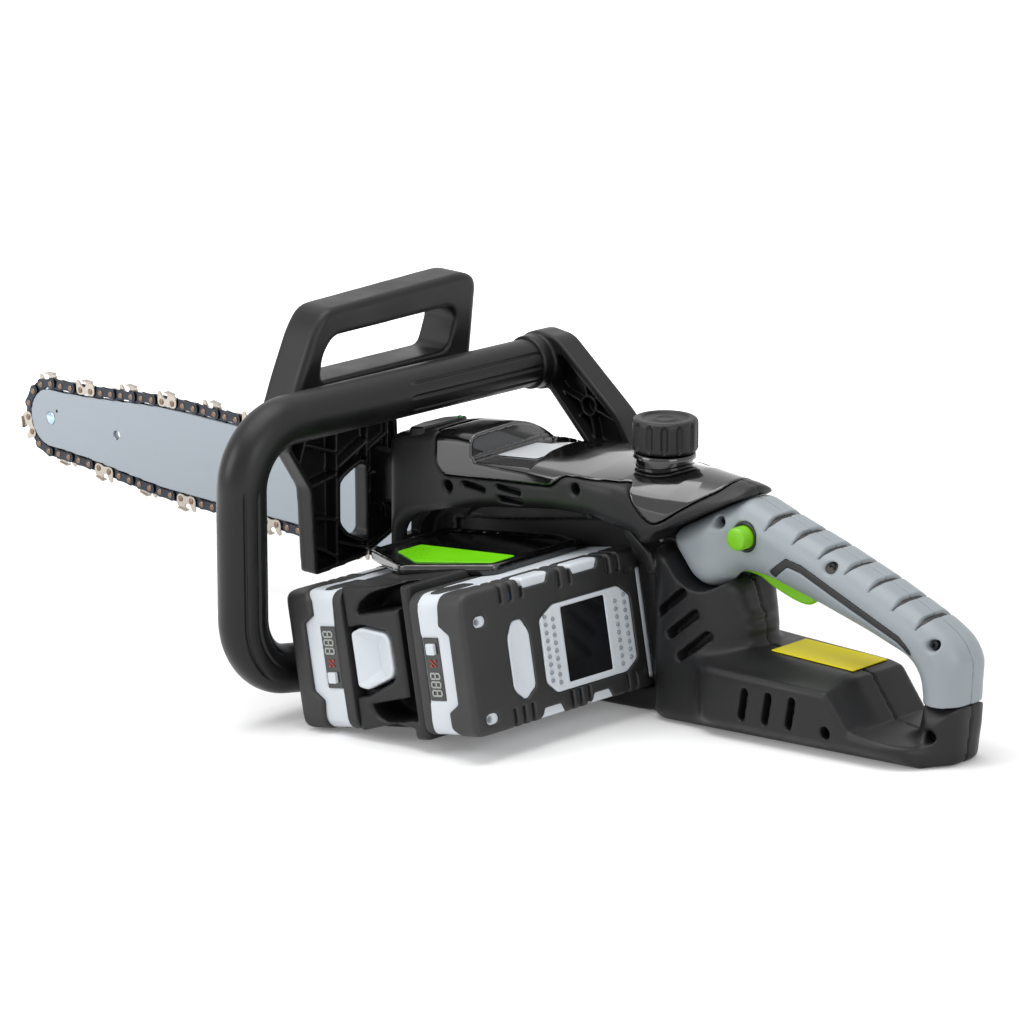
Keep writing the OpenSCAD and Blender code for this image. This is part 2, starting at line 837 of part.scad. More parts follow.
housing_left();
housing_right();
top_cover();
cover_plate();
tab_plate();
foot_plate();
grip_left();
grip_right();
grip_insert();
trigger_pin();
trigger_switch();
control_board();
housing_screws();
front_handle();
handle_strut();
guard_pivot_pin();
brake_band();
battery_dock();
dock_badge();
dock_terminals();
oil_tank();
filler_neck();
oil_pump();
motor_can();
shaft_bearing();
bumper_spike();
sprocket_cover();
bar_studs();
bar_nuts();
tension_screw();
tension_pin();
guide_bar();
nose_rivet();
saw_chain();
hand_guard();
trigger();
lock_button();
oil_cap();
cap_seal();
release_button();
motor_rotor();
motor_pinion();
drive_gear();
drive_shaft();
drive_sprocket();
nose_sprocket();
front_pack_case();
front_pack_frame();
front_pack_label();
front_pack_display();
front_pack_cells();
front_pack_button();
rear_pack_case();
rear_pack_frame();
rear_pack_label();
rear_pack_display();
rear_pack_cells();
rear_pack_button();
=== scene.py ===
import bpy
import numpy as np
from mathutils import Matrix


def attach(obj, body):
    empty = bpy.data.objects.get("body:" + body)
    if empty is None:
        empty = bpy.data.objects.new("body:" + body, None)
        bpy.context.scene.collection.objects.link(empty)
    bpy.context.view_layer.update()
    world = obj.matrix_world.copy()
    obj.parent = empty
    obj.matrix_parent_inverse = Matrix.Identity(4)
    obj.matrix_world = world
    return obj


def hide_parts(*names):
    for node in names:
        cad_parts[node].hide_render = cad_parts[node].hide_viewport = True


# Cordless chainsaw: the looks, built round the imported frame.
# Every shape is drawn in millimetres on the level saw and then leant back onto its foot.
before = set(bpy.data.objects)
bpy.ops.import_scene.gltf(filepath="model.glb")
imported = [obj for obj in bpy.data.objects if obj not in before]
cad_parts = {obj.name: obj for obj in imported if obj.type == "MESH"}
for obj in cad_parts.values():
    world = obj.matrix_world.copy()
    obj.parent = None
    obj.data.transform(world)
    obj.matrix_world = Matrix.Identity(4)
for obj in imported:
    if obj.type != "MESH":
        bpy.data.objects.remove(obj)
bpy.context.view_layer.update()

# Frames of the saw, its pitched battery dock and its two packs

LEAN = np.radians(4.0)
HEEL = (-195.0, 0.0, 0.0)
FOOT_BACK = (27.0, 0.0, 0.0)
DOCK_PITCH = np.radians(11.0)
DOCK_AT = (-1.0, 0.0, 1.8)
# A pack's outer face and inner face, buried end and outer end, underside and top
PACK_X0, PACK_X1, PACK_Y0, PACK_Y1, PACK_Z0, PACK_Z1 = -7.0, 34.4, 12.6, 150.0, -1.4, 77.0
# What a point and its twin on the other pack add up to, along the saw and in height
TWIN_X, TWIN_Z = 122.0, 77.0


def turned(points, angle):
    """Points turned about the axis across the saw, forwards and down for a positive angle."""
    x, y, z = np.moveaxis(np.asarray(points, float), -1, 0)
    c, s = np.cos(angle), np.sin(angle)
    return np.stack([x * c + z * s, y, z * c - x * s], -1)


def saw(points):
    """Level saw in millimetres to the standing saw in metres: leant about its heel."""
    return (turned(np.asarray(points, float) - HEEL, -LEAN) - FOOT_BACK) / 1000


def dock(points):
    """Dock in millimetres to the standing saw: pitched forwards, then leant with the saw."""
    return saw(turned(points, DOCK_PITCH) + DOCK_AT)


def front_dock(points):
    """A rear pack's points carried to the front pack: half a turn about the dock's middle."""
    x, y, z = np.moveaxis(np.asarray(points, float), -1, 0)
    return dock(np.stack([TWIN_X - x, y, TWIN_Z - z], -1))


# Distance fields: shapes as signed distances in millimetres, negative inside

def soft(corners, r, steps=4):
    """Outline with each corner eased by a quadratic curve that starts r before it and ends r after."""
    p = np.asarray(corners, float)
    before, after = np.roll(p, 1, 0) - p, np.roll(p, -1, 0) - p
    la = np.linalg.norm(before, axis=1, keepdims=True)
    lb = np.linalg.norm(after, axis=1, keepdims=True)
    a = p + before / la * np.minimum(r, la * 0.48)
    b = p + after / lb * np.minimum(r, lb * 0.48)
    t = np.linspace(0, 1, steps + 1)[None, :, None]
    curve = (1 - t) ** 2 * a[:, None] + 2 * t * (1 - t) * p[:, None] + t ** 2 * b[:, None]
    return curve.reshape(-1, 2)


def outline(points, a, b):
    """Distance from (a, b) to a closed outline: to the nearest edge, and negative where a ray crosses the
    outline an odd number of times."""
    p = np.asarray(points, np.float32)
    shape = np.broadcast(a, b).shape
    near = np.full(shape, 1e9, np.float32)
    inside = np.zeros(shape, bool)
    for (ax, ay), (bx, by) in zip(p, np.roll(p, -1, 0)):
        ex, ey = bx - ax, by - ay
        px, py = a - ax, b - ay
        t = np.clip((px * ex + py * ey) / max(ex * ex + ey * ey, 1e-9), 0, 1)
        near = np.minimum(near, (px - ex * t) ** 2 + (py - ey * t) ** 2)
        if ay != by:
            inside ^= ((ay > b) != (by > b)) & (px < ex * (b - ay) / ey)
    return np.sqrt(near) * np.where(inside, -1, 1)


def both(a, b, r=0.01):
    """Where two shapes overlap, the edge between them rounded by r."""
    a, b = a + r, b + r
    return np.minimum(np.maximum(a, b), 0) + np.hypot(np.maximum(a, 0), np.maximum(b, 0)) - r


def either(a, b, k=0.01):
    """Two shapes joined, the inner corner between them filled over a width k."""
    h = np.maximum(k - np.abs(a - b), 0) / k
    return np.minimum(a, b) - h * h * k / 4


def less(a, b, k=0.01):
    """A shape with another cut out of it, the rim eased over a width k."""
    return -either(-a, b, k)


def span(v, lo, hi):
    """Distance to the stretch from lo to hi along one axis."""
    return np.abs(v - (lo + hi) / 2) - (hi - lo) / 2


def line(a, b, p, q):
    """Distance in a plane from (a, b) to the straight stretch p to q."""
    ex, ey = q[0] - p[0], q[1] - p[1]
    t = np.clip(((a - p[0]) * ex + (b - p[1]) * ey) / (ex * ex + ey * ey), 0, 1)
    return np.hypot(a - p[0] - ex * t, b - p[1] - ey * t)


def route(a, b, points):
    """Distance in a plane from (a, b) to a chain of straight stretches."""
    best = line(a, b, points[0], points[1])
    for p, q in zip(points[1:-1], points[2:]):
        best = np.minimum(best, line(a, b, p, q))
    return best


def ease(v, lo, hi):
    """Smooth step from 0 at lo to 1 at hi."""
    t = np.clip((v - lo) / (hi - lo), 0, 1)
    return t * t * (3 - 2 * t)


CORNERS = list(np.ndindex(2, 2, 2))


def skin(field, lo, hi, step, to=saw):
    """Closed quad surface where a distance field is zero, by surface nets: each grid cell that the surface
    crosses gets one vertex, the mean of the crossings on its twelve edges, and each crossed grid edge joins
    the four vertices round it by a quad that faces out of the shape."""
    axes = [np.arange(a, b + step, step, dtype=np.float32) for a, b in zip(lo, hi)]
    x, y, z = np.meshgrid(*axes, indexing="ij", sparse=True)
    v = np.array(np.broadcast_to(field(x, y, z), [len(a) for a in axes]), np.float32)
    inside = v < 0
    n = np.array(v.shape) - 1
    count = sum(inside[i:n[0] + i, j:n[1] + j, k:n[2] + k].astype(np.int8) for i, j, k in CORNERS)
    cells = np.argwhere((count > 0) & (count < 8))
    index = np.full(n, -1)
    index[tuple(cells.T)] = np.arange(len(cells))
    total, hits, unit = np.zeros((len(cells), 3)), np.zeros((len(cells), 1)), np.eye(3, dtype=int)
    quads = []
    for axis in range(3):
        for start in (c for c in CORNERS if c[axis] == 0):
            va, vb = v[tuple((cells + start).T)], v[tuple((cells + start + unit[axis]).T)]
            cross = (va < 0) != (vb < 0)
            t = va / np.where(cross, va - vb, 1)
            total += np.where(cross[:, None], cells + start + t[:, None] * unit[axis], 0)
            hits += cross[:, None]
        u, w = unit[(axis + 1) % 3], unit[(axis + 2) % 3]
        low = np.take(inside, range(n[axis]), axis)
        edges = np.argwhere(low != np.take(inside, range(1, n[axis] + 1), axis))
        edges = edges[((edges >= u + w) & (edges < n)).all(1)]
        ring = np.stack([index[tuple(c.T)] for c in (edges - u - w, edges - w, edges, edges - u)], 1)
        quads.append(np.where(low[tuple(edges.T)][:, None], ring, ring[:, ::-1]))
    points = np.array([a[0] for a in axes]) + step * total / hits
    return to(points), [np.concatenate(quads)]


# Surfaces carried along a path

def sheet(points, wrap_rows=False, wrap_cols=True):
    """Quads over a grid of points; rows run along the path and columns round it."""
    rows, cols = points.shape[:2]
    i = np.arange(rows if wrap_rows else rows - 1)[:, None]
    j = np.arange(cols if wrap_cols else cols - 1)[None, :]
    i2, j2 = (i + 1) % rows, (j + 1) % cols
    q = np.stack([i * cols + j, i * cols + j2, i2 * cols + j2, i2 * cols + j], -1).reshape(-1, 4)
    return points.reshape(-1, 3), [q]


def closed_sheet(points):
    """A grid that wraps in its columns, with its first and last rows filled as flat ends."""
    p, faces = sheet(points)
    cols = points.shape[1]
    return p, faces + [np.arange(cols)[None, ::-1], np.arange(cols)[None] + len(p) - cols]


def lathe(profile, turns, at, axis, ripple=None, hollow=False):
    """A profile of (radius, height) pairs turned round an axis: height runs along it from the point at.
    A hollow one has a closed profile, and its last ring joins its first."""
    axis = np.asarray(axis, float) / np.linalg.norm(axis)
    side = np.cross(axis, (0.0, 0.0, 1.0) if abs(axis[2]) < 0.9 else (1.0, 0.0, 0.0))
    side /= np.linalg.norm(side)
    a = np.linspace(0, 2 * np.pi, turns, endpoint=False)
    round_ = np.cos(a)[:, None] * side + np.sin(a)[:, None] * np.cross(axis, side)
    r, h = np.asarray(profile, float).T
    rr = r[:, None] * np.ones(turns) if ripple is None else ripple(r[:, None], h[:, None], a[None])
    rings = np.asarray(at, float) + rr[..., None] * round_ + h[:, None, None] * axis
    return sheet(rings, wrap_rows=True) if hollow else closed_sheet(rings)


def prism(points, lo, hi, bevel=0.0, axis="y"):
    """A flat outline carried from lo to hi, its rim chamfered by pulling the end outlines in by bevel."""
    p = np.asarray(points, float)
    if np.sum(p[:, 0] * np.roll(p[:, 1], -1) - p[:, 1] * np.roll(p[:, 0], -1)) < 0:
        p = p[::-1]
    back, on = p - np.roll(p, 1, 0), np.roll(p, -1, 0) - p
    na = np.stack([back[:, 1], -back[:, 0]], 1) / np.linalg.norm(back, axis=1, keepdims=True)
    nb = np.stack([on[:, 1], -on[:, 0]], 1) / np.linalg.norm(on, axis=1, keepdims=True)
    m = na + nb
    m = m / np.maximum((m * na).sum(1, keepdims=True), 0.5)
    rings = [(lo, -bevel), (lo + bevel, 0), (hi - bevel, 0), (hi, -bevel)] if bevel else [(lo, 0), (hi, 0)]
    out = []
    for h, grow in rings:
        q = p + grow * m
        level = np.full(len(q), h)
        cols = {"y": (q[:, 0], -level, q[:, 1]), "x": (level, q[:, 0], q[:, 1]),
                "z": (q[:, 0], q[:, 1], level)}
        out.append(np.stack(cols[axis], 1))
    return closed_sheet(np.array(out) * ((1, -1, 1) if axis == "y" else (1, 1, 1)))


def to_frame(solid, to=saw):
    """A solid with its points carried from its own frame to the standing saw."""
    return to(solid[0]), solid[1]


# Finishes

def linear(code):
    """An sRGB hex colour as linear red, green, blue and alpha."""
    c = np.array([int(code[i:i + 2], 16) for i in (1, 3, 5)]) / 255
    return (*np.where(c <= 0.04045, c / 12.92, ((c + 0.055) / 1.055) ** 2.4), 1.0)


def add(tree, kind, inputs=(), **settings):
    """One node with its settings, and its inputs given as values or as the outputs that feed them."""
    node = tree.nodes.new(kind)
    for key, value in settings.items():
        setattr(node, key, value)
    for key, value in dict(inputs).items():
        if isinstance(value, bpy.types.NodeSocket):
            tree.links.new(value, node.inputs[key])
        else:
            node.inputs[key].default_value = value
    return node


def per_mm(size):
    """Noise scale for features of that size in millimetres, on coordinates in metres."""
    return 1000.0 / size


def new_finish(name):
    """A material with one principled shader joined to its output."""
    m = bpy.data.materials.new(name)
    m.use_nodes = True
    tree = m.node_tree
    tree.nodes.clear()
    out = add(tree, "ShaderNodeOutputMaterial")
    bsdf = add(tree, "ShaderNodeBsdfPrincipled")
    tree.links.new(bsdf.outputs[0], out.inputs[0])
    return m, tree, bsdf


def two_tone(tree, bsdf, pattern, dark, light, rough, spread):
    """Colour between two tones, and gloss between two roughnesses, both led by one pattern."""
    tone = add(tree, "ShaderNodeMix", {"Factor": pattern}, data_type="RGBA")
    # colour sockets of the mix node come after its number sockets
    tone.inputs[6].default_value, tone.inputs[7].default_value = linear(dark), linear(light)
    gloss = add(tree, "ShaderNodeMapRange", {"Value": pattern, "From Min": 0.3, "From Max": 0.7,
                                             "To Min": rough - spread, "To Max": rough + spread})
    tree.links.new(tone.outputs[2], bsdf.inputs["Base Color"])
    tree.links.new(gloss.outputs[0], bsdf.inputs["Roughness"])


def moulded(name, dark, light, rough, grain, relief, coat=0.0, spread=0.08, shine=0.5):
    """Injection-moulded plastic: a flow mottle of two close tones some centimetres wide, a spark-eroded
    grain that bumps the surface, and gloss that varies slowly where hands and moulds have polished it."""
    m, tree, bsdf = new_finish(name)
    place = add(tree, "ShaderNodeTexCoord").outputs["Object"]
    flow = add(tree, "ShaderNodeTexNoise", {"Vector": place, "Scale": per_mm(28), "Detail": 3.0})
    fine = add(tree, "ShaderNodeTexNoise", {"Vector": place, "Scale": per_mm(grain), "Detail": 2.0})
    two_tone(tree, bsdf, flow.outputs["Fac"], dark, light, rough, spread)
    bump = add(tree, "ShaderNodeBump", {"Strength": relief, "Distance": 0.0001,
                                        "Height": fine.outputs["Fac"]})
    tree.links.new(bump.outputs[0], bsdf.inputs["Normal"])
    bsdf.inputs["IOR"].default_value = 1.53
    bsdf.inputs["Specular IOR Level"].default_value = shine
    bsdf.inputs["Coat Weight"].default_value = coat
    bsdf.inputs["Coat Roughness"].default_value = 0.06
    return m


def metal(name, dark, light, rough, stretch, relief, spread=0.08):
    """Worked steel: two tones and a gloss that follow fine streaks, stretched along the grinding."""
    m, tree, bsdf = new_finish(name)
    place = add(tree, "ShaderNodeTexCoord").outputs["Object"]
    lie = add(tree, "ShaderNodeMapping", {"Vector": place, "Scale": tuple(per_mm(s) for s in stretch)})
    lines = add(tree, "ShaderNodeTexNoise", {"Vector": lie.outputs[0], "Scale": 1.0, "Detail": 3.0})
    two_tone(tree, bsdf, lines.outputs["Fac"], dark, light, rough, spread)
    bump = add(tree, "ShaderNodeBump", {"Strength": relief, "Distance": 0.00005,
                                        "Height": lines.outputs["Fac"]})
    tree.links.new(bump.outputs[0], bsdf.inputs["Normal"])
    bsdf.inputs["Metallic"].default_value = 1.0
    return m


# Glass-filled nylon of the shells, spark-eroded: grey sheen over near black, no sharp reflections
NYLON = moulded("nylon_black_moulded", "#151516", "#1c1c1e", 0.44, 0.9, 0.35, shine=0.3)
# The handle tube and guard are the same nylon with a finer, slightly glossier mould face
TUBE = moulded("nylon_black_satin_moulded", "#111112", "#171718", 0.38, 0.8, 0.22, shine=0.28)
# ABS cover from a polished mould: deep black with a clear mirror
GLOSS = moulded("abs_black_polished", "#070708", "#0b0b0c", 0.13, 3.0, 0.02, 0.6, 0.03)
# Soft rubber moulded over the pack shells and inserts: dull charcoal with a fine grain
RUBBER = moulded("tpe_black_overmoulded", "#1c1c1d", "#232324", 0.55, 0.8, 0.4)
# ABS of the grip from a textured mould: flat cool grey with a broad soft sheen
GREY = moulded("abs_grey_moulded", "#8a9297", "#969ea3", 0.42, 0.8, 0.2, shine=0.4)
# Lime-dyed ABS of the buttons and the trigger: bright and even, with a satin shine
LIME = moulded("abs_lime_moulded", "#6fb900", "#7cc800", 0.35, 0.8, 0.12)
# Pale ABS of the pack frames and plates: near white with a cool cast
PALE = moulded("abs_pale_grey_moulded", "#cdd3d9", "#d6dce2", 0.4, 0.8, 0.15, shine=0.4)
# The pale ABS a few shades darker on the small bumps: painted shade, so that they read
DOT_SHADE = moulded("abs_pale_painted_shade_bumps", "#82888f", "#8d9399", 0.4, 0.8, 0.1)
# Yellow vinyl film: an even colour with almost no shine
YELLOW = moulded("vinyl_yellow_film", "#f0dc00", "#f6e408", 0.5, 1.2, 0.06, shine=0.12)
# Silver vinyl film: pale, with a soft shine
SILVER = moulded("vinyl_silver_film", "#c9cdd1", "#d5d8db", 0.33, 1.2, 0.06)
# Smoked acrylic window: near black, with clear reflections
SCREEN = moulded("acrylic_smoked_window", "#121315", "#17181a", 0.12, 2.0, 0.01, 0.4, 0.02)
# Display segments: dull pale bars
DIGIT = moulded("lcd_segment_grey", "#9aa09c", "#a8aea9", 0.4, 1.0, 0.02)
# Printed ink: flat dark red
RED = moulded("ink_red_printed", "#9c3628", "#a83e2e", 0.5, 1.0, 0.02)
# Ground and clear-lacquered bar steel: long faint lines along the bar
BAR = metal("bar_steel_ground_lacquered", "#8f969d", "#9ba2a9", 0.42, (60, 60, 0.7), 0.1, 0.05)
# Blued straps, nickel-bright cutters and coppery rivet heads of the chain
BLUED = metal("chain_steel_blued", "#33363c", "#43474e", 0.36, (2, 2, 2), 0.2)
NICKEL = metal("chain_steel_nickel_plated", "#a39b92", "#b9b2a8", 0.28, (2, 2, 2), 0.15)
RIVET = metal("rivet_steel_coppered", "#6f5d52", "#8a7666", 0.34, (1.5, 1.5, 1.5), 0.15)
# Zinc plate: light grey and finely mottled
ZINC = metal("steel_zinc_plated", "#8d9297", "#a2a7ac", 0.3, (1.5, 1.5, 1.5), 0.12)
# Black oxide on steel: dark, with a dull metallic sheen
DARK = metal("steel_black_oxide", "#2a2b2d", "#343638", 0.4, (1.5, 1.5, 1.5), 0.12)
# Stamped brass of the terminals: warm yellow metal
BRASS = metal("brass_stamped", "#b08d3c", "#c09c4a", 0.3, (2, 2, 2), 0.1)
# Clear green lens, smooth
LAMP = moulded("lens_green_moulded", "#1d8a4a", "#25a058", 0.2, 2.0, 0.02)
# Lime vinyl film: a stronger, flatter green than the buttons
LIME_FILM = moulded("vinyl_lime_film", "#70d400", "#7ae000", 0.3, 1.2, 0.04)
# Blown polythene: milky and waxy
TANK = moulded("polythene_natural_blown", "#d6d2c2", "#dedacb", 0.4, 2.0, 0.1)
# Fibreglass board under a green mask
BOARD = moulded("fibreglass_board_green", "#15452b", "#1c5234", 0.35, 1.5, 0.1)
# Shrunk sleeve round a cell: smooth blue
CELL = moulded("pvc_sleeve_blue_shrunk", "#3f6d96", "#4b7aa5", 0.3, 2.0, 0.05)
# Polished rivet of the bar's nose: bright, with a cool cast
SPOT = metal("bar_rivet_polished", "#a9c3cf", "#b9d0da", 0.25, (1, 1, 1), 0.05)


def build(name, solids, finish, body, *nodes, crisp=None):
    """One piece: all its solids in one mesh, riding on a body and standing for the CAD nodes named."""
    points, loops, sizes, base = [], [], [], 0
    for p, faces in solids:
        points.append(p)
        for f in faces:
            loops.append(np.asarray(f).ravel() + base)
            sizes.append(np.full(len(f), np.asarray(f).shape[1]))
        base += len(p)
    points, loops, sizes = np.concatenate(points), np.concatenate(loops), np.concatenate(sizes)
    me = bpy.data.meshes.new(name)
    me.vertices.add(len(points))
    me.vertices.foreach_set("co", points.astype(np.float32).ravel())
    me.loops.add(len(loops))
    me.loops.foreach_set("vertex_index", loops.astype(np.int32))
    me.polygons.add(len(sizes))
    me.polygons.foreach_set("loop_start", np.concatenate([[0], np.cumsum(sizes)[:-1]]).astype(np.int32))
    me.polygons.foreach_set("use_smooth", np.ones(len(sizes), bool))
    me.update(calc_edges=True)
    me.validate()
    if crisp:
        me.set_sharp_from_angle(angle=np.radians(crisp))
    me.materials.append(finish)
    ob = bpy.data.objects.new(name, me)
    bpy.context.scene.collection.objects.link(ob)
    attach(ob, body)
    if nodes:
        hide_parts(*nodes)
    return ob


def paint(finish, *nodes):
    """Gives CAD nodes that stay in view a finish."""
    for n in nodes:
        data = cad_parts[n].data
        data.materials.clear()
        data.materials.append(finish)


# Main housing

def ground(x, z):
    """Distance above the floor in the level saw's frame: the floor leans under it."""
    return (x - HEEL[0]) * np.float32(np.sin(LEAN)) + z * np.float32(np.cos(LEAN))


BODY_SIDE = soft([(171, 40), (171, 112), (166, 122), (140, 128), (104, 132), (-30, 130), (-70, 128),
                  (-70.5, 117.5), (-62, 113), (-15, 86), (-12, 92), (14, 98), (45, 96), (93, 88), (128, 80),
                  (150, 74), (161, 64), (163, 40)], 5)
BODY_PLAN = soft([(171, -50), (171, 43), (167.5, 45), (4, 45), (-24, 36), (-50, 26.5), (-72, 24.5),
                  (-72, -24.5), (-50, -26.5), (-24, -38), (4, -50)], 9)
# The cover's share of the body, in side view: over the top, down to the seam, and a tongue at the back
COVER_SIDE = soft([(131, 150), (131, 107), (125, 101.5), (43, 110), (34, 117.3), (-6, 119), (-17, 104),
                   (-23, 99.5), (-29, 102), (-41, 111.3), (-54, 120.5), (-59, 150)], 3)


def hood_wall(y):
    """Where the hood's upright rear face stands along the saw: a straight line across it, a little
    skewed."""
    return 102.4 + 0.0965 * (46 - y)


def body(x, y, z):
    """Upper body with its cover on: its side outline crossed with its plan outline under a crowned top,
    edges rounded, and cut back on the right to clear the bar."""
    shape = both(outline(BODY_SIDE, x, z), outline(BODY_PLAN, x, y), 7)
    fall = np.interp(x, (-74, -40, 0, 60), (0.026, 0.02, 0.0065, 0.0032))
    fall = fall * np.where(y > 0, np.interp(x, (-40, 20), (0.8, 0.3)), 1)
    rear = np.interp(x, (-74, -60, -30, 0, 30, 80), (121.6, 123.6, 125, 123.2, 121.2, 118.6)) - fall * y * y
    hood = np.interp(x, (104, 113, 131, 145, 160, 171), (128.2, 128, 126, 123.2, 119.8, 117))
    hood = hood - np.where(y < 12, 0.0095, 0.0008) * (y - 12) ** 2
    top = np.where(x > hood_wall(y) - 1.5, hood, rear)
    return less(both(shape, (z - top) * 0.95, 5), np.maximum(y + 22, z - 84))


def holes(x, y, z, sites, r, reach):
    """Screw holes that run across the saw, sunk from the left face."""
    best = 1e3
    for hx, hz, face in sites:
        best = np.minimum(best, both(np.hypot(x - hx, z - hz) - r, span(y, face - reach, face + 9)))
    return best


BELLY = soft([(-12, 70), (25, 94), (60, 96), (166, 104), (172, 84), (172, -12), (166, -30), (118, -26),
              (60, -16), (0, -14), (-12, -4), (-12, 41)], 5)
BEZEL = soft([(-3, 77.5), (-6.5, 73), (-12, 41), (-14.5, 0), (-7, -14), (60, -24), (150, -40), (150, 60),
              (100, 96), (26, 96)], 4)
COLUMN = soft([(-10, 84), (-36, 80), (-58, 73), (-67, 70), (-70, 60), (-76, 48), (-78, 30), (-60, -14),
               (-10, -10)], 6)
SOCKET = [(-184, 6), (-189.5, 18), (-192.5, 33), (-217, 34.2), (-216, 20), (-213, 0), (-195, -8)]
FOOT_PLAN = soft([(-7, 12), (-17, 22), (-24, 27), (-52, 28), (-60, 35.6), (-70, 36), (-185, 36), (-199, 30),
                  (-209, 14), (-209, -8), (-202, -20), (-186, -26), (-6, -27)], 10)
FOOT_X = (-224, -203, -162, -146, -99, -60, -6)
FOOT_LEFT = (9, 12, 14.5, 32.5, 30.5, 29, 27)
FOOT_MID_X = (-224, -186, -166, -149, -142, -84, -6)
FOOT_MID = (12, 13, 15, 36, 37.4, 37.2, 37)
LEFT_SCREWS = [(121.4, 95.5, 45), (24.7, 112, 45), (-147.5, 11, 36), (-203, 17, 20)]


def seat(x):
    """Height at which the grip's tail stands on the socket: a nearly level line along the saw."""
    return 32.9 - 0.05 * (x + 194.5)


def foot(x, y, z):
    """Rear foot: a plan outline under a roof whose height is blended from the left edge to the middle."""
    w = ease(y, 10, 35)
    roof = np.interp(x, FOOT_MID_X, FOOT_MID) * (1 - w) + np.interp(x, FOOT_X, FOOT_LEFT) * w
    shape = both(outline(FOOT_PLAN, x, y), (z - roof) * 0.85, 3.5)
    socket = both(outline(SOCKET, x, z), np.abs(y) - 17.4, 13)
    return np.maximum(either(shape, socket, 7), (z - seat(x)) * (x < -186) - 40 * (x >= -186))


def column(x, y, z):
    """Column between the bezel and the rear handle, with finger ridges down its back."""
    ridge = 0.8 * np.cos((z - 46) * 2 * np.pi / 7.5) * ease(x, -69, -75) * ease(z, 74, 66) * ease(z, 40, 46)
    plan = soft([(-6, 12), (-13, 20), (-21, 28), (-36, 28), (-58, 23), (-78, 9), (-78, -10), (-60, -22),
                 (-6, -28)], 10)
    return both(outline(COLUMN, x, z) - ridge, outline(plan, x, y), 5)


def vents(x, y, z):
    """Three slanted air slots on the column and three upright ones in the foot's left wall."""
    best = 1e3
    for i in range(3):
        a, b = (-22.5 - 7.7 * i, 49.5 - 10.9 * i), (-38 - 7.7 * i, 63 - 10.9 * i)
        best = np.minimum(best, both(line(x, z, a, b) - 2.6, span(y, 18, 40)))
        a, b = (-91.2 - 16.6 * i, 21 + i), (-89 - 16.5 * i, 7.2 + 1.1 * i)
        best = np.minimum(best, both(line(x, z, a, b) - 2.3, span(y, 29, 44)))
    return best


def wall_slots(x, y, z):
    """Flat air slots in the upper body's left wall."""
    best = 1e3
    for a, b in (((109, 99.2), (94, 98.6)), ((83, 102.3), (67, 101.9)), ((81, 96), (66, 96.6))):
        best = np.minimum(best, both(line(x, z, a, b) - 1.7, span(y, 38, 50)))
    return best


def tucked(x, y, z):
    """Space that the packs' inner ends need: their outline in the pitched dock, grown by a small gap."""
    c, s = np.float32(np.cos(DOCK_PITCH)), np.float32(np.sin(DOCK_PITCH))
    dx, dz = x - DOCK_AT[0], z - DOCK_AT[2]
    lx, lz = dx * c - dz * s, dx * s + dz * c
    return both(both(span(lx, PACK_X0 - 1.2, TWIN_X - PACK_X0 + 1.2), span(lz, -1, 92)),
                span(y, PACK_Y0 - 0.6, 200))


def housing(x, y, z):
    """Whole housing: body without its cover, belly, bezel, column and foot, blended, then vents and
    holes."""
    up = less(body(x, y, z), outline(COVER_SIDE, x, z) - 0.35, 1.2)
    belly = both(outline(BELLY, x, z), span(y, -34, 16), 3)
    belly = either(belly, both(both(span(x, -27, 34), span(z, 60, 100)), span(y, -33, 9), 2), 2)
    bezel = both(outline(BEZEL, x, z), span(y, -20, 17 + 4.5 * ease(z, 70, 76)), 2.0)
    rim = both(route(x, z, [(22, 99), (-8.5, 77.5), (-11.5, 71)]) - 3.4, span(y, 0, 24.5), 1.2)
    rib = both(route(x, z, [(38, 93.5), (19, 77.5)]) - 2.2, span(y, 0, 24), 1.0)
    edge = both(route(x, z, [(-11.5, 71), (-13, 41), (-15.5, 2), (-8, -14)]) - 2.8, span(y, 0, 16.5), 1.4)
    bezel = either(either(bezel, np.minimum(rim, rib), 0.8), edge, 1.5)
    shape = either(either(up, belly, 3), bezel, 1.5)
    shape = either(shape, either(column(x, y, z), foot(x, y, z), 4), 3)
    shape = less(shape, np.maximum(outline(GRIP_SIDE, x, z) - 0.4, seat(x) - 0.2 - z), 0.4)
    shape = less(shape, tucked(x, y, z), 1)
    shape = less(shape, holes(x, y, z, LEFT_SCREWS, 3.3, 9), 1.2)
    shape = less(less(shape, vents(x, y, z), 1.0), wall_slots(x, y, z), 0.8)
    shape = less(shape, np.hypot(x, y) + 0 * z - 14.5 + 100 * (z < 100), 0.5)
    shape = less(shape, both(both(span(x, 146, 180), span(z, 58, 110)), span(y, 27.2, 36.8)), 0.8)
    return both(shape, 7.0 * ease(y, 20, 35) - ground(x, z), 4)


GRIP_SIDE = soft([(-68, 118), (-92, 110.2), (-127, 100.5), (-162, 89.2), (-197, 75.8), (-210.5, 68.2),
                  (-217.5, 57.0), (-216.5, 46), (-215.5, 18), (-192, 17), (-191.5, 36), (-190, 46),
                  (-183, 53.5), (-153.5, 62), (-118, 70.5), (-84, 77.5), (-66, 77.5), (-58, 69),
                  (-46.5, 64.6), (-35.5, 68.6), (-29, 76.5), (-22, 84), (-21, 92.6)], 6)

BODY_STEP = 1.15
build("housing_left_shell", [skin(lambda x, y, z: np.maximum(housing(x, y, z), 0.12 - y),
                                  (-228, -1, -34), (174, 48, 124), BODY_STEP)], NYLON, "frame",
      "housing_left")
build("housing_right_shell", [skin(lambda x, y, z: np.maximum(housing(x, y, z), y + 0.12),
                                   (-228, -54, -34), (174, 1, 124), BODY_STEP)], NYLON, "frame",
      "housing_right")


# Polished cover with its valley

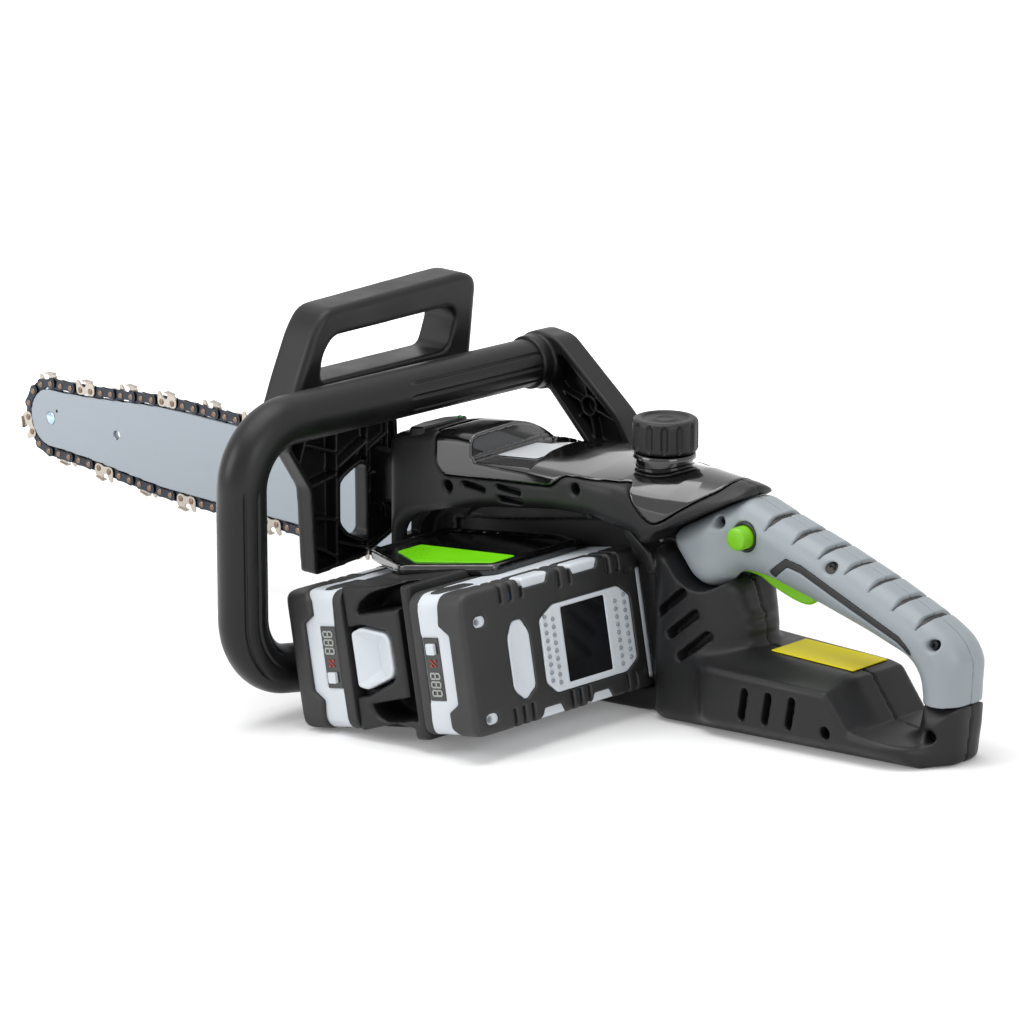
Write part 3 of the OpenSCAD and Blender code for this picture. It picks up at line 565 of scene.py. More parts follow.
VALLEY_REAR = [(50, 62), (57.3, 46), (65, 30), (73, 13.5), (76.8, -2), (78.5, -16), (76, -24), (70, -60)]
VALLEY = soft(VALLEY_REAR + [(hood_wall(-60), -60), (hood_wall(62), 62)], 3)


def valley(x, y, z):
    """Valley across the cover: a flat floor that falls forwards, from a curved rear rim to the hood's
    upright face, with a low step along the foot of that face and both ends open."""
    floor = 113.2 - 0.084 * (x - 100.6) - 0.005 * np.minimum(y + 8, 0) ** 2
    cut = both(outline(VALLEY, x, y), floor - z, 1.5)
    return np.maximum(cut, -np.maximum(hood_wall(y) - 2.2 - x, z - floor - 2.6))


def cover(x, y, z):
    """Cover: the body's share above the seam, less the valley and the filler opening."""
    shape = both(body(x, y, z) - 0.25, outline(COVER_SIDE, x, z) + 0.25, 1.0)
    shape = less(shape, outline(GRIP_SIDE, x, z) - 0.5, 0.8)
    shape = less(shape, valley(x, y, z), 1.2)
    return less(shape, np.hypot(x, y) + 0 * z - 15.6, 0.8)


build("top_cover_shell", [skin(cover, (-76, -53, 92), (134, 48, 131), 0.72)], GLOSS, "frame", "top_cover")


# Grey rear grip with its grooves, insert, trigger and lock button

GROOVE_LOW = [(-86.3, 104.3), (-104.9, 100.2), (-122.9, 95.8), (-140.4, 90.6), (-157.2, 84.9), (-174, 78.3),
              (-190.1, 71.2)]
GRIP_SCREWS = [(-56, 103.7), (-131.4, 92.7), (-201.7, 65.5)]
INSERT = [(-92, 82), (-103, 90.5), (-113, 89), (-180, 64.5), (-186, 59)]
LOCK = (-73.5, 99.0)


def grip_body(x, y, z):
    """Grip before its details: the side outline given round flanks, fuller at the front bulb."""
    half = 17.4 + 4.6 * ease(x, -68, -46)
    return both(outline(GRIP_SIDE, x, z), np.abs(y) - half, 13)


def grip(x, y, z):
    """Grip with seven finger grooves over its top, screw holes, the insert's channel and the trigger
    slot."""
    plain = np.maximum(grip_body(x, y, z), seat(x) - z)
    shape = plain
    for gx, gz in GROOVE_LOW:
        side = ((x - gx) * 8 + (z - gz) * 3.1) / 8.58
        rise = ((z - gz) * 8 - (x - gx) * 3.1) / 8.58
        width = 0.45 + 1.5 * ease(rise, 1.5, 5.5) * (1 - 0.5 * ease(rise, 6.5, 8.5))
        groove = np.maximum(np.maximum(np.abs(side) - width, -rise), -(plain + 2.6))
        shape = less(shape, groove, 0.4)
    for hx, hz in GRIP_SCREWS:
        shape = less(shape, both(np.hypot((x - hx) * 0.8, z - hz) - 2.9, span(y, 10, 30)), 1.6)
    shape = less(shape, np.maximum(route(x, z, INSERT) - 2.2, -(plain + 2.2)), 0.5)
    shape = less(shape, both(np.hypot(x - LOCK[0], z - LOCK[1]) - 8.2, span(y, 4, 40)), 0.8)
    slot = both(both(span(x, -119, -47), span(z, 50, 93)), span(y, -7.9, 7.9), 2)
    return less(shape, slot, 1.5)


build("grip_left_shell", [skin(lambda x, y, z: np.maximum(grip(x, y, z), 0.1 - y),
                               (-224, -1, 26), (-14, 24, 121), 0.7)], GREY, "frame", "grip_left")
build("grip_right_shell", [skin(lambda x, y, z: np.maximum(grip(x, y, z), y + 0.1),
                                (-224, -24, 26), (-14, 1, 121), 0.9)], GREY, "frame", "grip_right")
build("grip_insert_strip",
      [skin(lambda x, y, z: np.maximum(np.maximum(route(x, z, INSERT) - 1.95, grip_body(x, y, z) + 0.35),
                                       -(grip_body(x, y, z) + 2.1)),
            (-190, 6, 54), (-88, 24, 94), 0.6)], RUBBER, "frame", "grip_insert")

# Black fill inside the grip: painted shade that shows in the finger grooves and the trigger slot
build("grip_painted_shade_core", [skin(lambda x, y, z: np.maximum(grip_body(x, y, z) + 1.7, 70 - z),
                         (-204, -18, 68), (-78, 18, 112), 1.4)], RUBBER, "frame")
LOCK_AT, ACROSS, UP = (LOCK[0], 0, LOCK[1]), (0, 1, 0), (0, 0, 1)
LOCK_RING = [(6.7, 10.2), (8.1, 10.2), (8.1, 16.6), (7.7, 17.3), (6.9, 17.3), (6.7, 17)]
build("lock_button_ring", [to_frame(lathe(LOCK_RING, 60, LOCK_AT, ACROSS, hollow=True))], RUBBER, "frame",
      crisp=50)

TRIGGER = soft([(-53, 75.5), (-59, 74.8), (-67, 76.2), (-76, 75.4), (-83, 72), (-92, 69), (-100, 67),
                (-106.5, 66), (-112, 67), (-115, 70.4), (-108, 76), (-80, 86), (-62, 90), (-51, 88)], 2.5)


def trigger(x, y, z):
    """Trigger lever: its side outline carried across, with rounded finger edges and a shallow middle
    dish."""
    dish = 0.5 * ease(np.abs(y), 6, 0)
    return less(both(outline(TRIGGER, x, z) + dish, span(y, -7, 7), 2.2),
                np.hypot(x + 58, z - 84) - 2.1 + 0 * y)


build("trigger_lever", [skin(trigger, (-117, -8, 63), (-46, 8, 92), 0.55)], LIME, "trigger", "trigger")
LOCK_CAP = [(0.01, 11), (6.4, 11), (6.3, 23), (6.1, 24.2), (5.6, 24.9), (4.6, 25.2), (0.01, 25.2)]
build("lock_button_cap", [to_frame(lathe(LOCK_CAP, 48, LOCK_AT, ACROSS))], LIME, "lock_button",
      "lock_button", crisp=40)


# Oil filler and its cap

CAP_AT, CAP_R, CAP_FLUTES = 130.4, 18.0, 13


def fluted(r, h, a):
    """Cap radius: round-ended flutes sunk 1.6 mm into the wall, evenly spaced round it."""
    across = np.abs((a * CAP_FLUTES / (2 * np.pi)) % 1 - 0.5) * 2 * np.pi * CAP_R / CAP_FLUTES
    beyond = np.maximum(np.maximum(3.4 - h, h - 14.6), 0)
    dent = 1.6 * np.sqrt(np.maximum(1 - (across ** 2 + beyond ** 2) / 1.9 ** 2, 0))
    return r - np.where(r > 16.5, dent, 0)


def cap():
    """Cap turned from its profile: chamfered foot, fluted wall, rolled rim and a shallow dish on top."""
    wall = [(CAP_R, h) for h in np.linspace(1.6, 15.0, 28)]
    low = [(0.01, 0), (15.4, 0), (16.8, 0.2), (17.6, 0.7)]
    rim = [(17.85, 16.2), (17.3, 17.2), (16.4, 17.8), (15.4, 18), (13.4, 18), (13.0, 17.7), (12.7, 17.2),
           (12.2, 17), (6.2, 17.15), (5.9, 17.5), (5.2, 17.5), (4.9, 17.2), (0.01, 17.2)]
    plug = [(0.01, -16), (7.2, -16), (8, -15.2), (8, 0.2), (0.01, 0.2)]
    at = (0, 0, CAP_AT)
    return [to_frame(lathe(low + wall + rim, 312, at, UP, fluted)), to_frame(lathe(plug, 48, at, UP))]


build("oil_cap_knob", cap(), NYLON, "cap", "oil_cap", crisp=50)
NECK = [(10, 112), (13.6, 112), (13.6, 118), (15.4, 118.4), (15.4, 126.2), (17.2, 126.8), (17.2, 128.4),
        (16.6, 129.2), (10.4, 129.4), (10, 129)]
build("filler_neck_ring", [to_frame(lathe(NECK, 120, (0, 0, 0), UP, hollow=True))], GLOSS, "frame",
      "filler_neck", crisp=45)

# Plates on the cover, the front block and the foot

LABEL = (90.4, 6.5)


def plate_on(centre, length, width, angle, lo, hi, r):
    """Flat plate with rounded corners, its long side turned by an angle from the saw's length."""
    c, s = np.cos(angle), np.sin(angle)
    p = soft([(-length / 2, -width / 2), (length / 2, -width / 2), (length / 2, width / 2),
              (-length / 2, width / 2)], r)
    return prism(np.stack([p[:, 0] * c - p[:, 1] * s, p[:, 0] * s + p[:, 1] * c], 1) + centre, lo, hi, 0.2,
                 "z")


def tilted(solid, about, rise_x, rise_y):
    """A flat plate tipped: its height gains rise_x and rise_y for each millimetre along and across the
    saw."""
    p = solid[0].copy()
    p[:, 2] += rise_x * (p[:, 0] - about[0]) + rise_y * (p[:, 1] - about[1])
    return p, solid[1]


cover_plate = tilted(plate_on(LABEL, 36, 27, np.radians(-82.6), 113.4, 113.75, 1.5), (100.6, 6), -0.084, 0)
build("cover_plate_film", [to_frame(cover_plate)], SILVER, "frame", "cover_plate", crisp=40)
TAB = [(141, 43.5), (152, 44.5), (159, 27), (160.5, 8), (148.5, 2), (144, 11)]
tab = tilted(prism(soft(TAB, 2), 117, 123.6, 1.0, "z"), (150, 20), -0.16, 0.02)
build("tab_plate_block", [to_frame(tab)], NYLON, "frame", "tab_plate", crisp=40)
TAB_LENS = [(0.01, 0), (1.5, 0), (1.5, 0.8), (1.1, 1.2), (0.01, 1.3)]
build("tab_lamp", [to_frame(lathe(TAB_LENS, 24, (147.5, 9, 123.5), UP))], LAMP, "frame", crisp=50)
foot_plate = tilted(plate_on((-114.5, -5.5), 56, 29, np.radians(1.5), 37.5, 38.1, 1.0), (-114, -5), -0.003,
                    0)
build("foot_plate_film", [to_frame(foot_plate)], YELLOW, "frame", "foot_plate", crisp=40)

# Screw heads: a socket head sunk in each hole of the housing, and a smaller one in each of the grip's
BIG_HEAD = [(0.01, -4), (2.7, -4), (2.7, -0.5), (2.3, 0), (1.5, 0), (1.2, -1.2), (0.01, -1.2)]
SMALL_HEAD = [(0.01, -3), (2.2, -3), (2.2, -0.4), (1.9, 0), (1.2, 0), (1.0, -1), (0.01, -1)]
heads = [lathe(BIG_HEAD, 36, (x, face - 7, z), ACROSS) for x, z, face in LEFT_SCREWS]
heads += [lathe(SMALL_HEAD, 36, (x, 13.5, z), ACROSS) for x, z in GRIP_SCREWS]
build("housing_screw_heads", [to_frame(h) for h in heads], DARK, "frame", "housing_screws", crisp=40)

# Front handle: one bent tube

# The tube's place along the saw, the height of its run across, and its radius
TUBE_X, TUBE_Z, TUBE_R = 156.0, 143.0, 13.7
TUBE_GROOVES = np.radians([34, 0, -36])


def tube_line(spacing):
    """Middle line of the handle: a run across, a bend, a leg down, a bend and a run back to the belly."""
    a, b = np.linspace(np.pi / 2, 0, 60), np.linspace(0, -np.radians(80), 60)
    legs = [np.array([[-60, TUBE_Z], [132, TUBE_Z]]),
            np.stack([132 + 35 * np.cos(a), 108 + 35 * np.sin(a)], 1),
            np.stack([132 + 35 * np.cos(b), 38 + 35 * np.sin(b)], 1),
            np.array([[60, -9], [44, -10], [14, -10]])]
    p = np.concatenate(legs)
    s = np.concatenate([[0], np.cumsum(np.hypot(*np.diff(p, axis=0).T))])
    at = np.arange(0, s[-1], spacing)
    return np.stack([np.interp(at, s, p[:, 0]), np.interp(at, s, p[:, 1])], 1)


def handle_tube():
    """Round tube carried along its line; three long grooves dent its back on the run across and on the
    leg."""
    p = tube_line(1.9)
    t = np.gradient(p, axis=0)
    t /= np.linalg.norm(t, axis=1, keepdims=True)
    out = np.stack([-t[:, 1], t[:, 0]], 1)
    phi = np.linspace(0, 2 * np.pi, 200, endpoint=False)
    off = np.abs((phi[:, None] - TUBE_GROOVES + np.pi) % (2 * np.pi) - np.pi).min(1) * TUBE_R
    run = ease(p[:, 0], 50, 46) * ease(p[:, 0], -55, -52) * (p[:, 1] > 130)
    leg = ease(p[:, 1], 112, 108) * ease(p[:, 1], 8, 14) * (p[:, 0] > 140)
    r = TUBE_R - 1.1 * np.maximum(1 - (off[None] / 1.1) ** 2, 0) * np.maximum(run, leg)[:, None]
    ring = np.stack([TUBE_X - r * np.cos(phi), p[:, :1] + r * np.sin(phi) * out[:, :1],
                     p[:, 1:] + r * np.sin(phi) * out[:, 1:]], -1)
    return closed_sheet(ring[:, ::-1])


build("front_handle_tube", [to_frame(handle_tube())], TUBE, "frame", "front_handle", crisp=60)

STRUT = soft([(141, 159.5), (91, 121), (82, 108), (80, 98), (115, 98), (119.5, 102.6), (152, 133),
              (168, 143), (160, 159)], 6)
STRUT_POCKET = soft([(137, 150), (93, 116.5), (86, 103), (113, 101.5), (118, 106.5), (147, 133.5),
                     (142, 146)], 3)


def strut(x, y, z):
    """Strut: a walled plate with a socket round the tube, its pocket stiffened by a hexagon and six
    spokes."""
    shape = either(outline(STRUT, x, z), np.hypot(x - TUBE_X, z - TUBE_Z) - 16.8, 3)
    shape = both(shape, span(y, -76, -60.5), 1.6)
    collar = both(np.hypot(x - TUBE_X, z - TUBE_Z) - 15.4, span(y, -76, -52), 1.4)
    shape = either(shape, collar, 1.5)
    ring = np.abs(np.hypot(x - 120, z - 121.5) - 5.6) - 0.8
    for a in np.radians(np.arange(15, 375, 60)):
        ring = np.minimum(ring, line(x, z, (120 + 5.4 * np.cos(a), 121.5 + 5.4 * np.sin(a)),
                                     (120 + 40 * np.cos(a), 121.5 + 40 * np.sin(a))) - 0.7)
    pocket = both(outline(STRUT_POCKET, x, z), span(y, -72, -50), 0.8)
    pocket = less(pocket, np.hypot(x - TUBE_X, z - TUBE_Z) - 16.4 + 0 * y, 0.5)
    return less(shape, less(pocket, np.maximum(ring, span(y, -80, -66)), 0.6), 0.8)


build("handle_strut_web", [skin(strut, (76, -77.5, 95), (177, -46, 164), 0.7)], TUBE, "frame",
      "handle_strut")

# Hand guard with its ribbed shield

LOOP = soft([(100, 137), (95, 150), (82, 178), (73, 189), (-36, 193.5), (-45, 188.5), (-39, 138), (40, 137),
             (40, 118), (110, 118)], 7)
LOOP_WINDOW = soft([(78.5, 149.5), (76, 164), (68, 173.5), (-23, 175.5), (-27.5, 169), (-20.5, 150.5)], 5)
SHIELD = soft([(107, 116), (100, 138), (20, 138), (12.5, 57), (23, 51), (38, 44.5), (87, 40), (90, 90)], 3)
SHIELD_WINDOW = soft([(66.9, 90.5), (67.2, 67.4), (61.8, 60.5), (49.5, 54.8), (44.8, 57.1), (45.2, 95),
                      (49.8, 98.2), (57.6, 95.6)], 3)
RIBS = [((97, 108), (92, 122)), ((92, 116), (70, 108)), ((91, 91), (69, 95)), ((70, 98), (45, 110)),
        ((45, 101), (25, 110.5)), ((42, 87), (27, 93)), ((36, 77), (12, 53.5)), ((90, 74), (69, 69)),
        ((69.5, 138), (69.5, 40)), ((43, 138), (41, 42)), ((25.5, 128), (26.7, 62)), ((68, 56), (43, 47)),
        ((88, 58), (70, 48)), ((45, 120), (25, 124))]


def guard(x, y, z):
    """Guard: a rounded loop with a window, a thin shield with a rim and crossed ribs behind it, and an
    arm."""
    loop = both(outline(LOOP, y, z), span(x, 186.5, 213), 4.5)
    loop = less(loop, outline(LOOP_WINDOW, y, z) + 0 * x, 2.5)
    flat = outline(SHIELD, y, z)
    hole = outline(SHIELD_WINDOW, y, z)
    shield = both(flat, span(x, 192.5, 196), 0.8)
    web = np.maximum(flat, -flat - 2.6)
    web = np.minimum(web, np.abs(hole - 1.2) - 1.2)
    for a, b in RIBS:
        web = np.minimum(web, line(y, z, a, b) - 0.85)
    back = 183.5 + 5 * ease(y, 48, 40)
    shield = either(shield, both(np.maximum(web, flat), np.maximum(back - x, x - 194), 0.5), 0.8)
    shield = less(shield, hole + 0 * x, 0.5)
    arm = both(outline(soft([(150, 84), (150, 100), (193, 104), (193, 70), (170, 76)], 3), x, z),
               span(y, 28.3, 35.7), 1.2)
    return either(either(loop, shield, 2), arm, 1.5)


build("hand_guard_loop", [skin(guard, (148, -48, 38), (215, 116, 197), 1.05)], TUBE, "guard", "hand_guard")

# Guide bar and chain

# Middle plane, middle height and thickness of the bar, then its nose, half height and the chain round it
BAR_Y, BAR_Z, BAR_T = -40.0, 42.0, 4.2
NOSE_X, NOSE_R, BAR_HALF = 557.0, 18.7, 26.0
RIVET_UP, SPROCKET_X, SPROCKET_R, CHAIN_STEP = 3.3, 118.0, 18.3, 9.525


def bar_edge(x):
    """Half height of the bar along its length: level, then eased down to the nose by half a cosine."""
    t = np.clip((x - 430) / (NOSE_X - 430), 0, 1)
    return NOSE_R + (BAR_HALF - NOSE_R) * (1 + np.cos(np.pi * t)) / 2


def closed_line(x, half, nose):
    """Loop from half heights along the top, round the nose, and back below."""
    a = np.linspace(np.pi / 2, -np.pi / 2, 61)[1:-1]
    return np.concatenate([np.stack([x, half], 1),
                           np.stack([NOSE_X + nose * np.cos(a), nose * np.sin(a)], 1),
                           np.stack([x, -half], 1)[::-1]])


bar_x = np.linspace(131, NOSE_X, 90)
BAR_LINE = closed_line(bar_x, np.minimum(bar_edge(bar_x), 15 + (bar_x - 118) * 0.262), NOSE_R) + (0, BAR_Z)


def guide_bar(x, y, z):
    """Bar: its outline as a plate with dressed edges, a chain groove, the stud slot, oil holes and nose
    holes."""
    flat = outline(BAR_LINE, x, z)
    shape = both(flat, span(y, BAR_Y - BAR_T / 2, BAR_Y + BAR_T / 2), 0.6)
    shape = np.maximum(shape, -np.maximum(span(y, BAR_Y - 0.8, BAR_Y + 0.8), -flat - 6))
    bores = line(x, z, (142, BAR_Z), (170, BAR_Z)) - 4.3
    for hx, hz, r in ((150, 29, 2.5), (150, 55, 2.5), (494.6, 42.2, 2.7), (551, 47.5, 1.1),
                      (NOSE_X, BAR_Z, 3.95)):
        bores = np.minimum(bores, np.hypot(x - hx, z - hz) - r)
    return np.maximum(shape, -bores)


build("guide_bar_plate", [skin(guide_bar, (129, -43, 14), (578, -37, 70), 1.0)], BAR, "frame", "guide_bar",
      crisp=35)
GUARD_PIN = [(0.01, -57), (2.6, -57), (3, -56.6), (3, 39.6), (2.6, 40), (0.01, 40)]
build("guard_pin_rod", [to_frame(lathe(GUARD_PIN, 32, (160, 0, 92), ACROSS))], DARK, "frame",
      "guard_pivot_pin", crisp=40)
NOSE_HEAD = [(0.01, -2.35), (3.6, -2.35), (3.9, -2.1), (3.9, 2.1), (3.6, 2.35), (0.01, 2.4)]
build("nose_rivet_head", [to_frame(lathe(NOSE_HEAD, 48, (NOSE_X, BAR_Y, BAR_Z), ACROSS))], SPOT, "frame",
      "nose_rivet", crisp=50)


def rivet_line():
    """Rivet centres: the chain's closed line round bar, nose and sprocket, stepped off at the chain's
    pitch."""
    x = np.linspace(SPROCKET_X, NOSE_X, 500)
    half = np.where(x < 160, SPROCKET_R + (BAR_HALF + RIVET_UP - SPROCKET_R) * (x - SPROCKET_X) / 42,
                    bar_edge(x) + RIVET_UP)
    a = np.linspace(1.5 * np.pi, 0.5 * np.pi, 60)[1:-1]
    loop = np.concatenate([closed_line(x, half, NOSE_R + RIVET_UP),
                           np.stack([SPROCKET_X + SPROCKET_R * np.cos(a), SPROCKET_R * np.sin(a)], 1)])
    loop = np.concatenate([loop, loop[:1]])
    s = np.concatenate([[0], np.cumsum(np.hypot(*np.diff(loop, axis=0).T))])
    count = int(round(s[-1] / CHAIN_STEP / 2)) * 2
    at = (np.arange(count) / count * s[-1] + CHAIN_PHASE) % s[-1]
    return np.stack([np.interp(at, s, loop[:, 0]), np.interp(at, s, loop[:, 1])], 1)


CHAIN_PHASE = 3.0


def strap_end(u, first):
    """One end of a strap: an arc of 3.7 mm about its rivet at u, flattened below."""
    a = np.radians(np.arange(first, first + 131, 13))
    return np.stack([u + 3.7 * np.cos(a), np.maximum(3.7 * np.sin(a), -3.0)], 1)


STRAP = np.concatenate([strap_end(4.76, -60), [(1.6, 3.0), (-1.6, 3.0)],
                        strap_end(-4.76, 110), [(-1.2, -2.3), (1.2, -2.3)]])
CUTTER = [(-3.2, -3.0), (-1.2, -2.3), (1.2, -2.3), (3.2, -3.0), (6.4, -3.0), (8.1, -1.6), (8.5, 0.4),
          (8.3, 3.6), (8.5, 5.6), (7.5, 6.5), (6.0, 6.3), (4.9, 5.0), (3.4, 2.6), (1.8, 2.0), (0.0, 2.5),
          (-0.9, 4.0), (0.4, 6.4), (-6.4, 5.6), (-8.0, 4.2), (-8.5, 1.4), (-8.3, -1.2), (-6.6, -3.0)]
TOP_PLATE = [(0.9, 3.5), (0.5, -0.6), (-6.3, 0.0), (-6.6, 2.9)]
DRIVE = [(-7.9, 1.6), (-5.6, 3.3), (5.6, 3.3), (7.9, 1.6), (8.0, -1.4), (4.4, -3.4), (1.5, -8.4),
         (-2.2, -8.4), (-4.6, -3.4), (-8.0, -1.4)]


def along(solids, a, b, flip=1.0):
    """One link's solids copied onto every pair of rivets: u runs from b back to a, v points off the
    bar."""
    mid, way = (a + b) / 2, b - a
    way = way / np.linalg.norm(way, axis=1, keepdims=True)
    off = np.stack([-way[:, 1], way[:, 0]], 1)
    out = []
    for p, faces in solids:
        u, y, v = p[None, :, 0, None], p[:, 1] * flip, p[None, :, 2, None]
        xz = mid[:, None] + u * way[:, None] + v * off[:, None]
        points = np.stack([xz[..., 0], np.broadcast_to(BAR_Y + y, xz.shape[:2]), xz[..., 1] + BAR_Z], -1)
        step = (np.arange(len(mid)) * len(p))[:, None, None]
        turn = [f[:, ::-1] if flip < 0 else f for f in faces]
        out.append((saw(points.reshape(-1, 3)), [(f[None] + step).reshape(-1, f.shape[1]) for f in turn]))
    return out


def chain():
    """Chain round the bar: blued straps in pairs, drive links between them, a cutter on every second
    pair of straps, on the near and far side in turn, and a rivet head at every pivot on both sides."""
    p = rivet_line()
    a, b = p[0::2], p[1::2]
    kind = np.arange(len(a)) % 4
    strap = [prism(STRAP, 0.75, 1.95, 0.25)]
    tooth = [prism(soft(CUTTER, 0.6, 2), 0.75, 1.95, 0.25)]
    p_top, f_top = prism(TOP_PLATE, 5.4, 6.5, 0.15, "z")
    p_top[:, 2] += 0.11 * p_top[:, 0] + 0.5
    tooth.append((p_top, f_top))
    drive = [prism(DRIVE, -0.62, 0.62, 0.15)]
    dome = [(0.01, 1.9), (1.9, 1.9), (1.9, 2.2), (1.5, 2.5), (0.7, 2.65), (0.01, 2.65)]
    head = [lathe(dome, 14, (0, 0, 0), ACROSS)]
    near, far = kind == 1, kind == 3
    straps = along(strap, a[~near], b[~near]) + along(strap, a[~far], b[~far], -1)
    teeth = along(tooth, a[near], b[near]) + along(tooth, a[far], b[far], -1)
    links = along(drive, b, np.roll(a, -1, 0))
    ahead = p + (np.roll(p, -1, 0) - np.roll(p, 1, 0)) * 0.01
    behind = p - (np.roll(p, -1, 0) - np.roll(p, 1, 0)) * 0.01
    heads = along(head, behind, ahead) + along(head, behind, ahead, -1)
    build("chain_straps", straps, BLUED, "frame", "saw_chain", crisp=35)
    build("chain_cutters", teeth, NICKEL, "frame", "saw_chain", crisp=35)
    build("chain_drive_links", links, BLUED, "frame", "saw_chain", crisp=35)
    build("chain_rivets", heads, RIVET, "frame", "saw_chain", crisp=50)


chain()

# Sprocket cover on the right side

COVER_R = soft([(82, 10), (82, 70), (96, 80), (150, 80), (196, 76), (196, 8), (150, 4), (96, 2)], 9)


def sprocket_cover(x, y, z):
    """Right-hand cover: a rounded cup over the sprocket, open to the bar, with cooling ribs and nut
    seats."""
    flat = outline(COVER_R, x, z)
    shape = both(flat, span(y, -74, -36), 5)
    ribs = 1e3
    for i in range(5):
        ribs = np.minimum(ribs, line(x, z, (92 + 9 * i, 20 + 2 * i), (98 + 9 * i, 66 - 1.5 * i)) - 1.8)
    shape = less(shape, np.maximum(ribs, -y - 73.2) + 100 * (y > -70), 0.8)
    boss = np.maximum(outline(soft([(136, 28), (176, 28), (176, 56), (136, 56)], 4), x, z), y + 42.4)
    cup = np.maximum(both(flat + 3, span(y, -71, -20), 3), -boss)
    shape = less(shape, cup, 0.5)
    mouth = both(both(span(x, 180, 204), span(z, 5, 79)), span(y, -50, -30))
    shape = less(shape, mouth, 1.0)
    bores = np.minimum(np.hypot(x - 146, z - 42), np.hypot(x - 166, z - 42)) - 4.4
    bores = np.minimum(bores, both(np.hypot(x - 150, z - 29) - 3.1, span(y, -50, -20)))
    bores = np.minimum(bores, both(np.hypot(y + 56, z - 22) - 3.2, span(x, 140, 220)))
    return np.maximum(shape, -bores)


build("sprocket_cover_cup", [skin(sprocket_cover, (80, -76, 0), (199, -34, 82), 1.05)], NYLON, "frame",
      "sprocket_cover")

# Battery dock with its top plate and release button

HEX = [(116, 97), (70, 119.5), (20, 96.5), (25, 27), (43, 20), (121, 33)]
HEX_RIM = [(112, 94), (70, 114.5), (25, 93), (30, 31), (45, 25), (116, 37)]
BADGE = [(100, 91), (101, 72), (30, 70.5), (28.5, 89), (71, 106)]


def plate_top(x):
    """Height of the dock's top plate: it rises forward, against the dock's pitch."""
    return 80.0 + 0.087 * x


DOCK_X0, DOCK_X1 = 34.7, 87.3
RELEASE = [(84.6, 54.5), (77, 57.2), (58, 54.4), (55.2, 51), (55, 33.5), (58, 30), (77.5, 23.2),
           (84.6, 24.7)]
MOUTH = [(90, 56), (77, 59), (57, 56), (53.3, 52), (53, 32.5), (56.5, 28), (77.5, 20), (90, 18.5)]
SOLE = [(45, -14), (45, 2.5), (60, 5), (92, -0.5), (92, -14)]
POCKET_HIGH = soft([(44.5, 67.5), (78.5, 64.8), (75, 71), (66, 76), (54, 79), (44.5, 79.5)], 2)
POCKET_LOW = soft([(44.5, 19.8), (76.5, 15.2), (72.5, 9), (66, 6), (55, 6.3), (44.5, 7.5)], 2)


def dock_body(x, y, z):
    """Dock: a beam between the packs, its end a wall beside the rear pack and a block that holds the
    release button, with finger pockets above and below the block."""
    beam = both(both(span(x, DOCK_X0, DOCK_X1), span(z, -1, 80), 3), span(y, 13, 132), 3)
    end = both(both(span(x, DOCK_X0, DOCK_X1), span(z, -3.2, 80), 1.2), span(y, 100, 147.5), 1.8)
    end = less(end, outline(SOLE, x, z) + 0 * y, 2)
    wall = both(both(span(x, DOCK_X0, 42), span(z, -3.2, 80.5), 1.2), span(y, 100, 147.5), 2.5)
    end = either(end, wall, 1)
    gap = both(span(x, 41.5, 45.5), span(z, 7, 80))
    pockets = np.minimum(np.minimum(outline(POCKET_HIGH, x, z), outline(POCKET_LOW, x, z)), gap)
    shape = less(either(beam, end, 2), both(pockets, 126 - y, 3), 1.5)
    mouth = np.minimum(np.maximum(outline(soft(RELEASE, 2), x, z) - 0.7, 133.5 - y),
                       np.maximum(outline(soft(MOUTH, 2), x, z), 140.5 - y))
    shape = less(shape, mouth, 0.6)
    return shape


def dock_lid(x, y, z):
    """Lid of the dock: a hexagonal plate that rises forwards, with a rim round a sunk field."""
    lid = both(outline(soft(HEX, 4), x, y), span(z - plate_top(x), -6, 0), 1.6)
    return less(lid, both(outline(soft(HEX_RIM, 3), x, y), plate_top(x) - 1.3 - z, 0.4), 0.8)


build("battery_dock_block", [skin(dock_body, (33, 10, -7), (89, 150, 90), 1.05, dock)], NYLON, "frame",
      "battery_dock")
build("battery_dock_lid", [skin(dock_lid, (18, 18, 74), (126, 128, 93), 0.8, dock)], GLOSS, "frame",
      "battery_dock")
badge = prism(soft(BADGE, 1.5), -0.6, 0.0, 0.15, "z")
badge[0][:, 2] += plate_top(badge[0][:, 0]) - 0.75
build("dock_badge_film", [to_frame(badge, dock)], LIME_FILM, "frame", "dock_badge", crisp=40)


def release(x, y, z):
    """Release button: a block with slanted corners, its face pressed in to a hipped hollow, like a roof
    upside down."""
    edge = outline(soft(RELEASE, 2), x, z)
    shape = both(edge, span(y, 138.2, 147.4), 1.2)
    hollow = 142.0 + 0.42 * np.maximum(np.abs(x - 69.5), (np.abs(z - 40.5) - 6.5) * 1.5)
    return less(shape, np.maximum(hollow - y, edge + 2.2), 0.4)


build("release_button_cap", [skin(release, (53, 137, 21), (86.5, 149, 59), 0.5, dock)], PALE, "release",
      "release_button")

# Battery packs: drawn once, carried to both places

